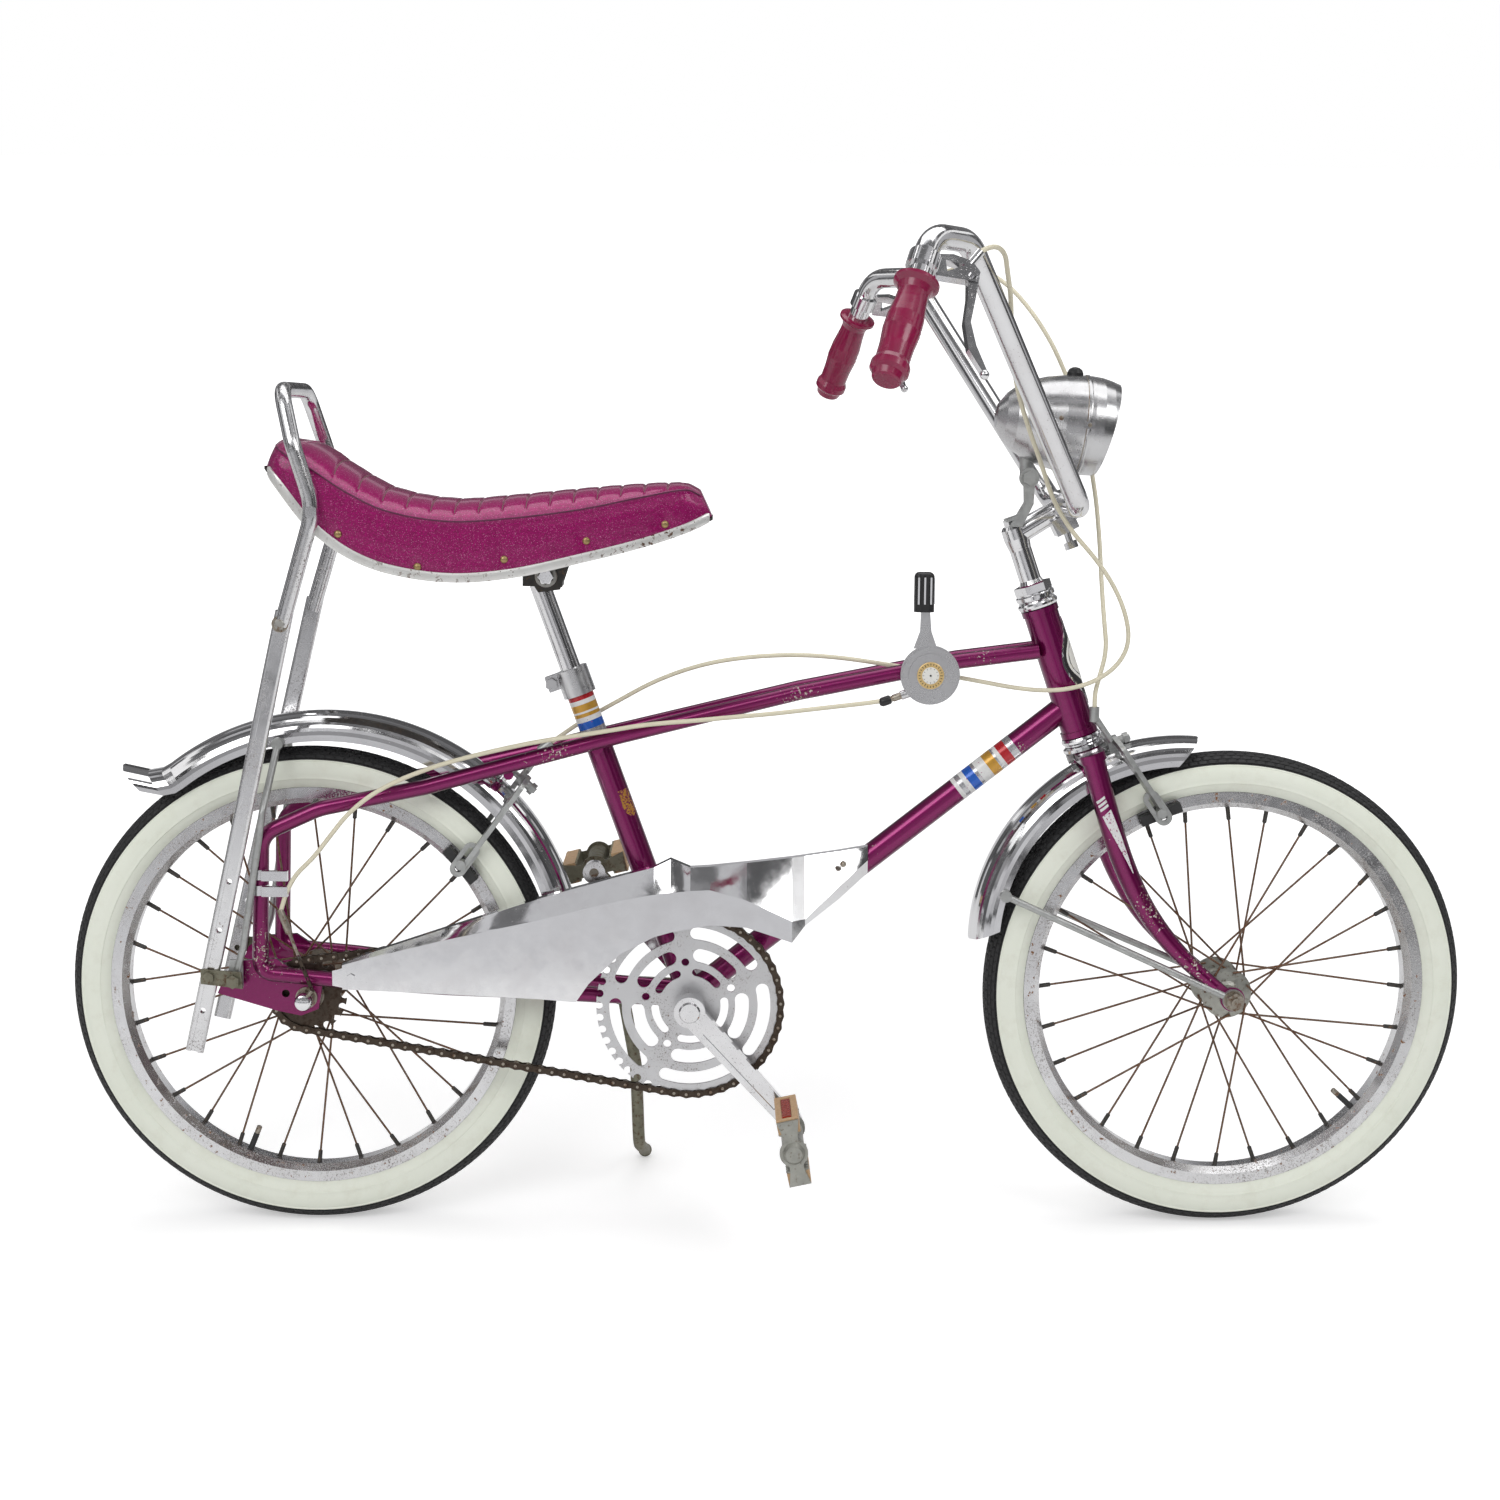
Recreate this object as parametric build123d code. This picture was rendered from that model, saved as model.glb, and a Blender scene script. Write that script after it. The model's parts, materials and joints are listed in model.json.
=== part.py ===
from build123d import *
import json
import os
from math import acos, atan2, ceil, cos, degrees, hypot, pi, radians, sin, tan

os.makedirs("parts", exist_ok=True)

# Stance: the bicycle is drawn upright and straight (X forward, Y to its left,
# Z up, rear axle at X = 0, floor at Z = 0), then turned as it parks.
LEAN = 8.0              # degrees it leans to its left on the side stand
STEER = 1.2             # degrees the bars are turned to the left

# Wheels
WHEELBASE = 944.0
TYRE_R = 250.0          # outside of the tyre, 20 x 1.75
TYRE_SEC = 23.5         # half of the tyre's thickness
SPOKES = 28
SPOKE_R = 1.1
HUB_R = 13.0
AXLE_Z = TYRE_R
GROW = TYRE_R / 250.0   # the frame's points are drawn round a wheel of 250
RING_R = TYRE_R - TYRE_SEC
RIM_OUT = TYRE_R - 41.0
RIM_IN = TYRE_R - 58.0
RIM_HALF = TYRE_SEC - 8.0
GUARD_HALF = TYRE_SEC + 6.5
GUARD_T = 1.2

# Steering
HEAD_ANGLE = 19.2       # degrees the steering axis leans back from upright
FORK_LEN = 1.5644 * TYRE_R      # front axle to the head's origin, along the axis
FORK_OFFSET = 58.75     # front axle ahead of the axis
HEAD_TUBE_R = 17.8
HEAD_TOP = 49.8         # along the axis from the head's origin
HEAD_LOW = -88.0
CUP = 9.0               # height of each head cup
CROWN_TOP = -103.5
CROWN_LOW = -112.4
STEERER_R = 12.7
BAR_R = 11.1
BLADE_Y = GUARD_HALF + 12.5
FORK_END_Y = 50.0

# Frame
TUBE_R = 8.0            # the twin tubes
DOWN_R = 12.7
SEAT_TUBE_R = 13.5
POST_R = 10.6
BB_X = 389.0 * GROW
BB_Z = AXLE_Z - 10.0
BB_R = 20.0
BB_HALF = 34.0
BORE_R = 15.0
DROP_Y = 55.0           # inner face of each rear dropout
DROP_T = 5.0

# Drive
PITCH = 12.7
RING_TEETH = 46
COG_TEETH = 18
CHAIN_Y = -48.0
CHAIN_HALF = 4.0
CRANK = 155.0
CRANK_REST = -48.0      # degrees of the right crank from forward
CRANK_Y = 66.0          # inner face of each crank arm
CRANK_T = 12.0
PEDAL_Y = 90.0
PEDAL_LEN = 86.0
PEDAL_HALF = 33.0       # half its length fore and aft
PEDAL_TURN = {"right": -78.0, "left": 14.0}

# Side stand
STAND_X = BB_X - 73.0
STAND_Z = BB_Z - 6.0
STAND_Y = 46.0
STAND_R = 6.5
FOOT_Y = 138.0

RING_PITCH_R = PITCH / (2 * sin(pi / RING_TEETH))
COG_PITCH_R = PITCH / (2 * sin(pi / COG_TEETH))

AX = Vector(-sin(radians(HEAD_ANGLE)), 0, cos(radians(HEAD_ANGLE)))
FW = Vector(cos(radians(HEAD_ANGLE)), 0, sin(radians(HEAD_ANGLE)))
HEAD_O = Vector(WHEELBASE, 0, AXLE_Z) + AX * FORK_LEN - FW * FORK_OFFSET

nodes = {}
body_of = {}


def at_axis(s, f=0.0, y=0.0):
    return HEAD_O + AX * s + FW * f + Vector(0, y, 0)


def fp(x, z):
    """A point of the frame, drawn for the standard wheel and wheelbase."""
    if x <= 300:
        return x * GROW, z * GROW
    t = (x - 300) / (759.9 - 300)
    return 300 * GROW + t * (HEAD_O.X - 300 * GROW), z * GROW + t * (HEAD_O.Z - 600 * GROW)


def hp(x, y, z):
    """A point carried by the steering, drawn with the head's origin at (759.9, 600)."""
    return HEAD_O + Vector(x - 759.9, y, z - 600)


def wp(x, z):
    """A point round the front wheel, drawn for a wheelbase of 944."""
    return WHEELBASE + (x - 944) * GROW, AXLE_Z + (z - 250) * GROW


def rod(p, q, r, r2=None):
    p, q = Vector(*p), Vector(*q)
    pl = Plane(origin=p, z_dir=(q - p).normalized())
    n = (q - p).length
    if r2 is None:
        return pl * Cylinder(r, n, align=(Align.CENTER, Align.CENTER, Align.MIN))
    return pl * Cone(r, r2, n, align=(Align.CENTER, Align.CENTER, Align.MIN))


def ring(p, q, r_out, r_in):
    return rod(p, q, r_out) - rod(p, q, r_in)


def hexa(p, q, r):
    p, q = Vector(*p), Vector(*q)
    pl = Plane(origin=p, z_dir=(q - p).normalized())
    return extrude(pl * RegularPolygon(r, 6), amount=(q - p).length)


def turned(o, d, prof):
    """A profile of (radius, place along the axis), turned about the axis at o."""
    pl = Plane(origin=Vector(*o), z_dir=Vector(*d).normalized())
    pts = [pl.from_local_coords(Vector(r, 0, s)) for r, s in prof]
    return revolve(make_face(Polyline(*pts, close=True)), axis=Axis(pl.origin, pl.z_dir))


def bent(points, radii, r):
    path = FilletPolyline(*[tuple(Vector(*p)) for p in points], radius=radii)
    start = Plane(origin=path @ 0, z_dir=path % 0)
    return sweep(start * Circle(r), path=path)


def block(x0, x1, y0, y1, z0, z1):
    return Pos((x0 + x1) / 2, (y0 + y1) / 2, (z0 + z1) / 2) * Box(x1 - x0, y1 - y0, z1 - z0)


def plate(points, y0, y1):
    face = make_face(Polyline(*[(x, y0, z) for x, z in points], close=True))
    return extrude(face, amount=y1 - y0, dir=(0, 1, 0))


def mirror_y(s):
    return mirror(s, about=Plane.XZ)


def both(s):
    return [s, mirror_y(s)]


def add(name, shape, body="frame"):
    nodes[name] = shape
    body_of[name] = body


def group(shapes):
    solids = []
    for s in shapes:
        solids.extend(s.solids())
    return Compound(children=solids)


def biggest(s):
    return s.solids().sort_by(SortBy.VOLUME)[-1]


def disc(x, z, y0, y1, r):
    return rod((x, y0, z), (x, y1, z), r)


def cut_by(s, *others):
    for o in others:
        s = s - o
    return s


# Main frame
TWIN = [
    # x, y, z, bend radius
    (742, 15, 603.5, 0), (661, 16, 592.9, 60), (499, 19, 560.3, 90), (296, 24, 509.8, 90),
    (120, 46, 464.5, 90), (16, 60, 444.5, 60), (-42, 61, 418, 24), (-46, 61, 276, 14),
    (33, 61, 268.5, 40), (140, 48, 258, 60), (226, 37.5, 252, 60), (300, 30, 246, 60),
    (384, 22, 241, 0),
]
DROP = [(-90, 254), (-81, 276), (-64, 288), (-30, 290), (-4, 272), (34, 272), (16, 262), (12, 238),
        (-6, 231), (-30, 236)]
SEAT_TOP = fp(237.7, 657.0)


def twin(sign):
    pts = []
    for x, y, z, r in TWIN:
        fx, fz = fp(x, z)
        pts.append((fx, y * sign, fz))
    return bent(pts, [r * GROW for x, y, z, r in TWIN[1:-1]], TUBE_R)


def drop(sign):
    p = plate([fp(*q) for q in DROP], DROP_Y, DROP_Y + DROP_T)
    p -= disc(0, AXLE_Z, DROP_Y - 5, DROP_Y + 10, 5.1)
    p -= disc(-21 * GROW, 254 * GROW, DROP_Y - 5, DROP_Y + 10, 4.0)
    p -= disc(-70 * GROW, 271 * GROW, DROP_Y - 5, DROP_Y + 10, 3.4)
    return p if sign > 0 else mirror_y(p)


def on_post(z, side=0.0):
    t = (z - BB_Z) / (SEAT_TOP[1] - BB_Z)
    return Vector(BB_X + t * (SEAT_TOP[0] - BB_X), side, z)


BRIDGE = fp(204, 476)
TWIN_CROSS = fp(293, 503)
COLLAR_Z = SEAT_TOP[1] - 89.0
POST_AX = (on_post(SEAT_TOP[1]) - on_post(BB_Z)).normalized()
POST_FW = Vector(POST_AX.Z, 0, -POST_AX.X)
COLLAR = on_post(COLLAR_Z)

main = rod(at_axis(HEAD_LOW), at_axis(HEAD_TOP), HEAD_TUBE_R)
main += rod(at_axis(HEAD_LOW), at_axis(HEAD_LOW + 6), HEAD_TUBE_R + 1.4)
main += rod(at_axis(HEAD_TOP - 6), at_axis(HEAD_TOP), HEAD_TUBE_R + 1.4)
main += rod(at_axis(-54), (BB_X, 0, BB_Z), DOWN_R)
main += rod((BB_X, 0, BB_Z), COLLAR - POST_AX * 12, SEAT_TUBE_R)
main += disc(BB_X, BB_Z, -BB_HALF, BB_HALF, BB_R)
for sg in (1, -1):
    main += twin(sg)
    main += drop(sg)
main += rod((BRIDGE[0], -36, BRIDGE[1]), (BRIDGE[0], 36, BRIDGE[1]), 5)
main += rod((TWIN_CROSS[0], -26, TWIN_CROSS[1]), (TWIN_CROSS[0], 26, TWIN_CROSS[1]), 6.5)
main -= rod(at_axis(HEAD_LOW - 40), at_axis(HEAD_TOP + 40), 14.2)
main -= disc(BB_X, BB_Z, -60, 60, BORE_R)
post_hole = rod(on_post(SEAT_TOP[1] - 255), on_post(SEAT_TOP[1] + 40), POST_R)
main -= post_hole

# Head cups, pressed into the head tube's ends
cup_prof = [(STEERER_R + 0.4, 0), (17.0, 0), (19.6, 1.2), (20.8, 3.4), (20.8, 5.6), (19.2, 7.4),
            (18.4, CUP), (STEERER_R + 0.4, CUP)]
add("head_cups", group([turned(at_axis(HEAD_TOP), AX, cup_prof),
                        turned(at_axis(HEAD_LOW), AX * -1, cup_prof)]))

# Seat post and collar
add("seat_post", rod(on_post(SEAT_TOP[1] - 255), on_post(SEAT_TOP[1] + 11), POST_R))
collar = rod(COLLAR - POST_AX * 14, COLLAR + POST_AX * 14, 17.0)
lug_at = COLLAR - POST_FW * 20 + POST_AX * 6
collar += Plane(origin=lug_at, x_dir=POST_FW, z_dir=POST_AX) * Box(16, 15, 16)
collar -= Plane(origin=lug_at - POST_FW * 4, x_dir=POST_FW, z_dir=POST_AX) * Box(22, 2.4, 30)
collar += rod(lug_at - POST_FW * 3 + Vector(0, -15, 0), lug_at - POST_FW * 3 + Vector(0, 13, 0), 3.2)
collar += hexa(lug_at - POST_FW * 3 + Vector(0, -15, 0), lug_at - POST_FW * 3 + Vector(0, -10, 0), 6.4)
collar += hexa(lug_at - POST_FW * 3 + Vector(0, 9, 0), lug_at - POST_FW * 3 + Vector(0, 14, 0), 6.4)
collar -= rod(COLLAR - POST_AX * 20, COLLAR - POST_AX * 12, SEAT_TUBE_R + 0.1)
collar -= post_hole
add("seat_post_clamp", biggest(collar - main))

# Seat: a padded cushion on a pressed pan
SEAT_ST = [
    # x and heights from the seat post's top: x, top middle, seam, bottom, half width
    (-268, 155, 149, 129, 70), (-254, 155, 143, 113, 82), (-223, 150, 128, 74, 88),
    (-188, 127, 105, 46, 88), (-148, 106, 86, 29, 86), (-88, 96, 76, 20, 82),
    (-28, 100, 79, 24, 76), (42, 107, 88, 39, 66), (102, 112, 100, 54, 55),
    (147, 113, 107, 69, 45), (172, 107, 100, 81, 36),
]
PAN_T = 3.0


def seat_section(x, top, seam, low, hw):
    x += SEAT_TOP[0]
    z = SEAT_TOP[1]
    pts = [(x, -hw + 3, z + low), (x, -hw, z + (low + seam) / 2), (x, -hw + 3, z + seam),
           (x, -hw * 0.78, z + seam + (top - seam) * 0.55), (x, -hw * 0.42, z + top - (top - seam) * 0.12),
           (x, 0, z + top)]
    pts += [(px, -py, pz) for px, py, pz in reversed(pts[:-1])]
    return make_face(Polyline(*pts, close=True))


def pan_section(x, top, seam, low, hw):
    x += SEAT_TOP[0]
    z = SEAT_TOP[1] + low
    w = hw - 4
    pts = [(x, -w, z), (x, w, z), (x, w, z - PAN_T), (x, -w, z - PAN_T)]
    return make_face(Polyline(*pts, close=True))


cushion = loft([seat_section(*s) for s in SEAT_ST], ruled=True)
pan = loft([pan_section(*s) for s in SEAT_ST], ruled=True)
add("seat_cushion", cushion)
add("seat_pan", pan)

# Saddle clamp between the post and the pan
sx, sz = SEAT_TOP
clamp = block(sx - 20, sx + 20, -15, 15, sz + 9, sz + 26)
clamp += rod((sx + 4, -26, sz + 19.5), (sx + 4, 26, sz + 19.5), 4)
for sg in (1, -1):
    clamp += plate([(sx - 22, sz + 30), (sx + 26, sz + 30), (sx + 18, sz + 6), (sx - 4, sz + 3)],
                   min(sg * 15, sg * 18), max(sg * 15, sg * 18))
    clamp += rod((sx + 4, sg * 18, sz + 19.5), (sx + 4, sg * 20, sz + 19.5), 11)
    clamp += hexa((sx + 4, sg * 20, sz + 19.5), (sx + 4, sg * 26, sz + 19.5), 8)
clamp = cut_by(clamp, pan, cushion, nodes["seat_post"])
add("seat_clamp", biggest(clamp))

# Sissy bar: a bent loop on two flattened legs
LEG_LOW = fp(-113, 196)
LEG_MID = (SEAT_TOP[0] - 250, SEAT_TOP[1] - 26)
SIS_UP = [(SEAT_TOP[0] - 216, 93, SEAT_TOP[1] + 88), (SEAT_TOP[0] - 235, 93, SEAT_TOP[1] + 150),
          (SEAT_TOP[0] - 249, 72, SEAT_TOP[1] + 203)]
LEG_TOP = (LEG_MID[0], 88, LEG_MID[1])
loop_l = [LEG_TOP] + SIS_UP
loop_r = [(x, -y, z) for x, y, z in reversed(loop_l)]
sissy = bent(loop_l + loop_r, [60, 34, 26, 26, 34, 60], TUBE_R)


def leg(sign):
    a = Vector(LEG_LOW[0], sign * 67, LEG_LOW[1])
    b = Vector(LEG_TOP[0], sign * LEG_TOP[1], LEG_TOP[2])
    d = (b - a).normalized()
    side = Vector(0, sign, 0)
    out = (side - d * side.dot(d)).normalized()
    pl = Plane(origin=a, x_dir=out.cross(d), z_dir=d)
    n = (b - a).length
    bar = extrude(pl * RectangleRounded(18, 9, 3.4), amount=n + 14)
    groove = extrude(Plane(origin=a - d * 2 + out * 4.6, x_dir=out.cross(d), z_dir=d) * Rectangle(7, 4.6),
                     amount=n - 40)
    bar -= groove
    for s in (44, 78, 130, 182):
        c = a + d * s
        bar -= rod(c - out * 20, c + out * 20, 3.0)
    return bar


sissy = sissy + leg(1) + leg(-1)
sissy = biggest(sissy - cushion)
for sg in (1, -1):
    c = Vector(SEAT_TOP[0] - 217, sg * 100, SEAT_TOP[1] + 86)
    sissy += hexa(c, c + Vector(0, sg * 5, 0), 6.5)
add("sissy_bar", sissy)


def on_leg(z, sign, out=0.0):
    t = (z - LEG_LOW[1]) / (LEG_TOP[2] - LEG_LOW[1])
    return Vector(LEG_LOW[0] + t * (LEG_TOP[0] - LEG_LOW[0]), sign * (67 + t * (LEG_TOP[1] - 67) + out),
                  z)


# Mudguards: a crowned sheet with a raised band, turned round the wheel
def guard_outline(r, t=0.0, depth=27.0):
    pts = []
    n = 12
    for k in range(-n, n + 1):
        a = radians(90.0 * k / n)
        s, c = sin(a), cos(a)
        q = (GUARD_HALF - t) * (abs(s) ** 0.82) * (1 if s > 0 else -1)
        p = r - t - depth + depth * abs(c) ** 0.72
        if abs(q) < 9:
            p += 1.3
        pts.append((p if abs(k) < n else r - depth, q))
    return pts


def guard_face(cx, cz, r, a, depth=27.0):
    ca, sa = cos(radians(a)), sin(radians(a))
    out = guard_outline(r, 0.0, depth)
    inn = list(reversed(guard_outline(r, GUARD_T, depth)))
    pts = [(cx + p * ca, q, cz + p * sa) for p, q in out + inn]
    return make_face(Polyline(*pts, close=True))


def guard_arc(cx, cz, r, a0, a1):
    return revolve(guard_face(cx, cz, r, a0), axis=Axis((cx, 0, cz), (0, -1, 0)),
                   revolution_arc=a1 - a0)


def guard_trim(cx, cz, r, a, back):
    """A cutter that ends the skirts at a, and the crown a few degrees past it."""
    pts = []
    for radius, angle in ((r + 8, a), (r - 40, a + back), (r - 40, a - 3 * back), (r + 8, a - 3 * back)):
        pts.append((cx + radius * cos(radians(angle)), cz + radius * sin(radians(angle))))
    return plate(pts, -60, 60)


RG = (16.4 * GROW, AXLE_Z + 26.3 * GROW, 259.3 * GROW)
FG = (WHEELBASE - 50.5 * GROW, AXLE_Z + 49.7 * GROW, 214.4 * GROW)
TAIL = [
    # crown X and Z of the tail's sections, the angle of each and its skirt
    (-143.2, 480.6, 128, 27), (-152, 475.5, 130, 27.5), (-166, 473, 132, 28.5), (-192, 478.6, 134, 31),
]
rear_guard = guard_arc(RG[0], RG[1], RG[2], 16.6, 128)
tail_faces = []
for x, z, a, depth in TAIL:
    fx, fz = fp(x, z)
    ca, sa = cos(radians(a)), sin(radians(a))
    tail_faces.append(guard_face(fx - 100 * ca, fz - 100 * sa, 100, a, depth))
tail_faces[0] = guard_face(RG[0], RG[1], RG[2], 128)
rear_guard += loft(tail_faces, ruled=True)
bridge = Vector(BRIDGE[0], 0, BRIDGE[1])
rg_c = Vector(RG[0], 0, RG[1])
b_out = (bridge - rg_c).normalized()
rear_guard += rod(rg_c + b_out * (RG[2] - 0.6), bridge, 4)
rear_guard = biggest(rear_guard - main)


front_guard = guard_arc(FG[0], FG[1], FG[2], 84.2, 180)
front_guard -= guard_trim(FG[0], FG[1], FG[2], 84.2, 12)
front_guard -= mirror(guard_trim(FG[0], FG[1], FG[2], 0.0, 7), about=Plane((FG[0], 0, 0), z_dir=(1, 0, 0)))
front_guard += rod(at_axis(CROWN_LOW), at_axis(CROWN_LOW - 4.5), 5)

# Rear mudguard stays
STAY_R = 3.6
PIN_X, PIN_Z = fp(-70, 271)


def rear_stay(sign):
    top = rg_c + Vector(cos(radians(101)), 0, sin(radians(101))) * (RG[2] - 19)
    y_in = GUARD_HALF + 2.2
    pts = [(PIN_X + 2, sign * 69.5, PIN_Z + 8), (PIN_X + 10, sign * 74.3, PIN_Z + 34),
           (PIN_X + 32, sign * 74.3, PIN_Z + 172), (top.X, sign * y_in, top.Z - 8)]
    s = bent(pts, [16, 20], STAY_R)
    flat = plate([(PIN_X - 8, PIN_Z - 8), (PIN_X + 8, PIN_Z - 8), (PIN_X + 8, PIN_Z + 20),
                  (PIN_X - 5, PIN_Z + 20)], 66.5, 70)
    if sign < 0:
        flat = mirror_y(flat)
    s += flat
    s += rod((top.X, sign * (GUARD_HALF - 0.4), top.Z - 6), (top.X, sign * (y_in + 4.5), top.Z - 6), 6)
    s -= disc(PIN_X, PIN_Z, sign * 60, sign * 80, 3.4)
    return s


stays = [cut_by(rear_stay(sg), main, rear_guard) for sg in (1, -1)]
add("rear_mudguard_stays", group([biggest(s) for s in stays]))
add("rear_mudguard", rear_guard)

# Brackets that tie the sissy bar's legs to the dropouts
BR = []
for sg in (1, -1):
    lc = on_leg(PIN_Z + 4, sg)
    y_out = abs(lc.Y) + 4.4
    link = plate([(lc.X - 8, lc.Z - 7), (lc.X - 8, lc.Z + 8), (PIN_X + 8, PIN_Z + 9), (PIN_X + 9, PIN_Z - 8)],
                 y_out, y_out + 3)
    link += rod((PIN_X, DROP_Y - 3, PIN_Z), (PIN_X, y_out + 8, PIN_Z), 3.3)
    link += rod((PIN_X, DROP_Y + DROP_T + 0.03, PIN_Z), (PIN_X, 66.4, PIN_Z), 6)
    link += rod((PIN_X, 70.1, PIN_Z), (PIN_X, y_out, PIN_Z), 6)
    link += hexa((PIN_X, y_out + 3, PIN_Z), (PIN_X, y_out + 8, PIN_Z), 7)
    link += hexa((lc.X, y_out + 3, lc.Z), (lc.X, y_out + 7.5, lc.Z), 6)
    if sg < 0:
        link = mirror_y(link)
    BR.append(biggest(cut_by(link, sissy, nodes["rear_mudguard_stays"])))
add("sissy_bar_brackets", group(BR))


# Wheels
def wheel(cx, tag, body, half_old):
    axis = Axis((cx, 0, AXLE_Z), (0, -1, 0))

    def spun(prof):
        return revolve(make_face(Polyline(*[(cx + p, q, AXLE_Z) for p, q in prof], close=True)),
                       axis=axis)

    t, h = RIM_IN, RIM_HALF
    rim = spun([(t, -8), (t + 6, -h), (RIM_OUT, -h), (RIM_OUT, -h + 2), (t + 9, -h + 3), (t + 4, -5),
                (t + 4, 5), (t + 9, h - 3), (RIM_OUT, h - 2), (RIM_OUT, h), (t + 6, h), (t, 8)])
    env = spun([(t, -h), (RIM_OUT, -h), (RIM_OUT, h), (t, h)])
    inner = spun([(t - 40, -40), (RIM_OUT - 3, -40), (RIM_OUT - 3, 40), (t - 40, 40)])
    tyre = Pos(cx, 0, AXLE_Z) * (Rot(90, 0, 0) * Torus(RING_R, TYRE_SEC))
    add(tag + "_tyre", tyre - env - inner, body)
    add(tag + "_rim", rim, body)
    fl = 26.0 if tag == "front" else 30.0
    fy = 27.0
    barrel = [(0, -half_old + 3), (9, -half_old + 3), (10, -fy - 6), (13.5, -fy - 4), (fl - 3, -fy - 1.4),
              (fl, -fy - 1.0), (fl, -fy + 1.4), (HUB_R + 2, -fy + 3), (HUB_R, -fy + 8),
              (HUB_R - 1.5, 0)]
    barrel = barrel + [(r, -s) for r, s in reversed(barrel[:-1])]
    hub = turned((cx, 0, AXLE_Z), (0, 1, 0), barrel)
    sp = []
    for i in range(SPOKES):
        side = 1 if i % 2 == 0 else -1
        a = 360.0 / SPOKES * i
        sweep_a = 62.0 if (i // 2) % 2 == 0 else -62.0
        ar, ah = radians(a), radians(a + sweep_a)
        ph = (cx + (fl - 3.5) * cos(ah), side * (fy + (2.7 if sweep_a > 0 else -2.7)),
              AXLE_Z + (fl - 3.5) * sin(ah))
        pr = (cx + (RIM_IN + 1) * cos(ar), side * 3.0, AXLE_Z + (RIM_IN + 1) * sin(ar))
        s = rod(ph, pr, SPOKE_R)
        d = Vector(*pr) - Vector(*ph)
        s += rod(Vector(*pr) - d.normalized() * 14, pr, 2.0)
        s -= rim
        s -= hub
        sp.append(biggest(s))
    add(tag + "_spokes", group(sp), body)
    if tag == "rear":
        hub += disc(cx, AXLE_Z, CHAIN_Y - 1.2, -fy, 16)
        cog = disc(cx, AXLE_Z, CHAIN_Y - 1.2, CHAIN_Y + 1.2, COG_PITCH_R + 2.5)
        for k in range(COG_TEETH):
            a = 2 * pi * k / COG_TEETH
            cog -= disc(cx + COG_PITCH_R * cos(a), AXLE_Z + COG_PITCH_R * sin(a),
                        CHAIN_Y - 5, CHAIN_Y + 5, 4.0)
        cog -= disc(cx, AXLE_Z, -60, 0, 16.0)
        add("rear_sprocket", cog, body)
    hub -= disc(cx, AXLE_Z, -80, 80, 5.0)
    add(tag + "_hub", hub, body)


wheel(0.0, "rear", "rear_wheel", DROP_Y)
wheel(WHEELBASE, "front", "front_wheel", FORK_END_Y)

# Rear axle with its nuts
ax = disc(0, AXLE_Z, -78, 78, 4.8)
for sg in (1, -1):
    ax += disc(0, AXLE_Z, sg * (DROP_Y + DROP_T), sg * (DROP_Y + DROP_T + 2), 11)
    ax += hexa((0, sg * (DROP_Y + DROP_T + 2), AXLE_Z), (0, sg * (DROP_Y + DROP_T + 11), AXLE_Z), 9.5)
    ax += disc(0, AXLE_Z, sg * (DROP_Y - 2.0), sg * DROP_Y, 8)
add("rear_axle", ax)

# Chain guard: a folded sheet that starts at the lower tube and ends on the down tube
DOWN_TOP = at_axis(-54)


def down_x(z):
    t = (z - BB_Z) / (DOWN_TOP.Z - BB_Z)
    return BB_X + t * (DOWN_TOP.X - BB_X)


def gx(x):
    if x <= 409:
        return x * GROW
    return 409 * GROW + (x - 409) * (down_x(386 * GROW) - 409 * GROW) / (571.4 - 409)


CG = [
    # x, bottom z, fold z, fold y, top z, top y
    (38, 261, 286, -70.6, 287.5, -67.5), (65, 259.4, 293.5, -68.8, 297, -63),
    (90, 258, 299, -67.2, 304.6, -59), (137, 255, 310, -64.1, 319, -51),
    (237, 249, 331.5, -60, 351, -46), (273, 246, 340.5, -60, 361.5, -45),
    (286, 265, 344, -60, 365, -45), (318, 296, 351.5, -60, 374, -44),
    (352, 314, 358, -60, 383, -44), (369, 319, 360, -60, 391.5, -44),
    (389, 323, 362, -60, 383, -44), (409, 326.7, 363, -60, 384, -43),
    (446, 324.4, 352.5, -60, 387, -38), (492, 309, 331, -60, 391, -30),
    (505, 326, 333, -57, 392.5, -28), (540, 349, 362, -34, 396, -19), (570, 373, 386, -16, 400, -12),
]
CG_T = 1.4


def cg_section(x, low, fold, fy, top, ty, lip=0.0):
    x = gx(x)
    z0 = (GROW - 1) * 250
    pts = [(fy, low), (fy, fold), (ty, top)]
    pts += [(ty + 7, top + 0.8), (ty + 7, top - 0.6), (ty + 0.8, top - CG_T)]
    pts += [(fy + CG_T, fold - 0.8), (fy + CG_T, low)]
    return make_face(Polyline(*[(x, y, z + z0) for y, z in pts], close=True))


guard = loft([cg_section(*s) for s in CG], ruled=True)
gz = (GROW - 1) * 250
guard += rod((gx(345), -12, 372 + gz), (gx(345), -46, 372 + gz), 3)
tab = plate([(28 * GROW, 265 + gz), (28 * GROW, 280 + gz), (42 * GROW, 284 + gz), (42 * GROW, 262 + gz)],
            -70.6, -69.2)
guard += tab
guard += hexa((47 * GROW, -72.5, 273 + gz), (47 * GROW, -69, 273 + gz), 4.5)
add("chain_guard", biggest(guard - main))


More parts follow.
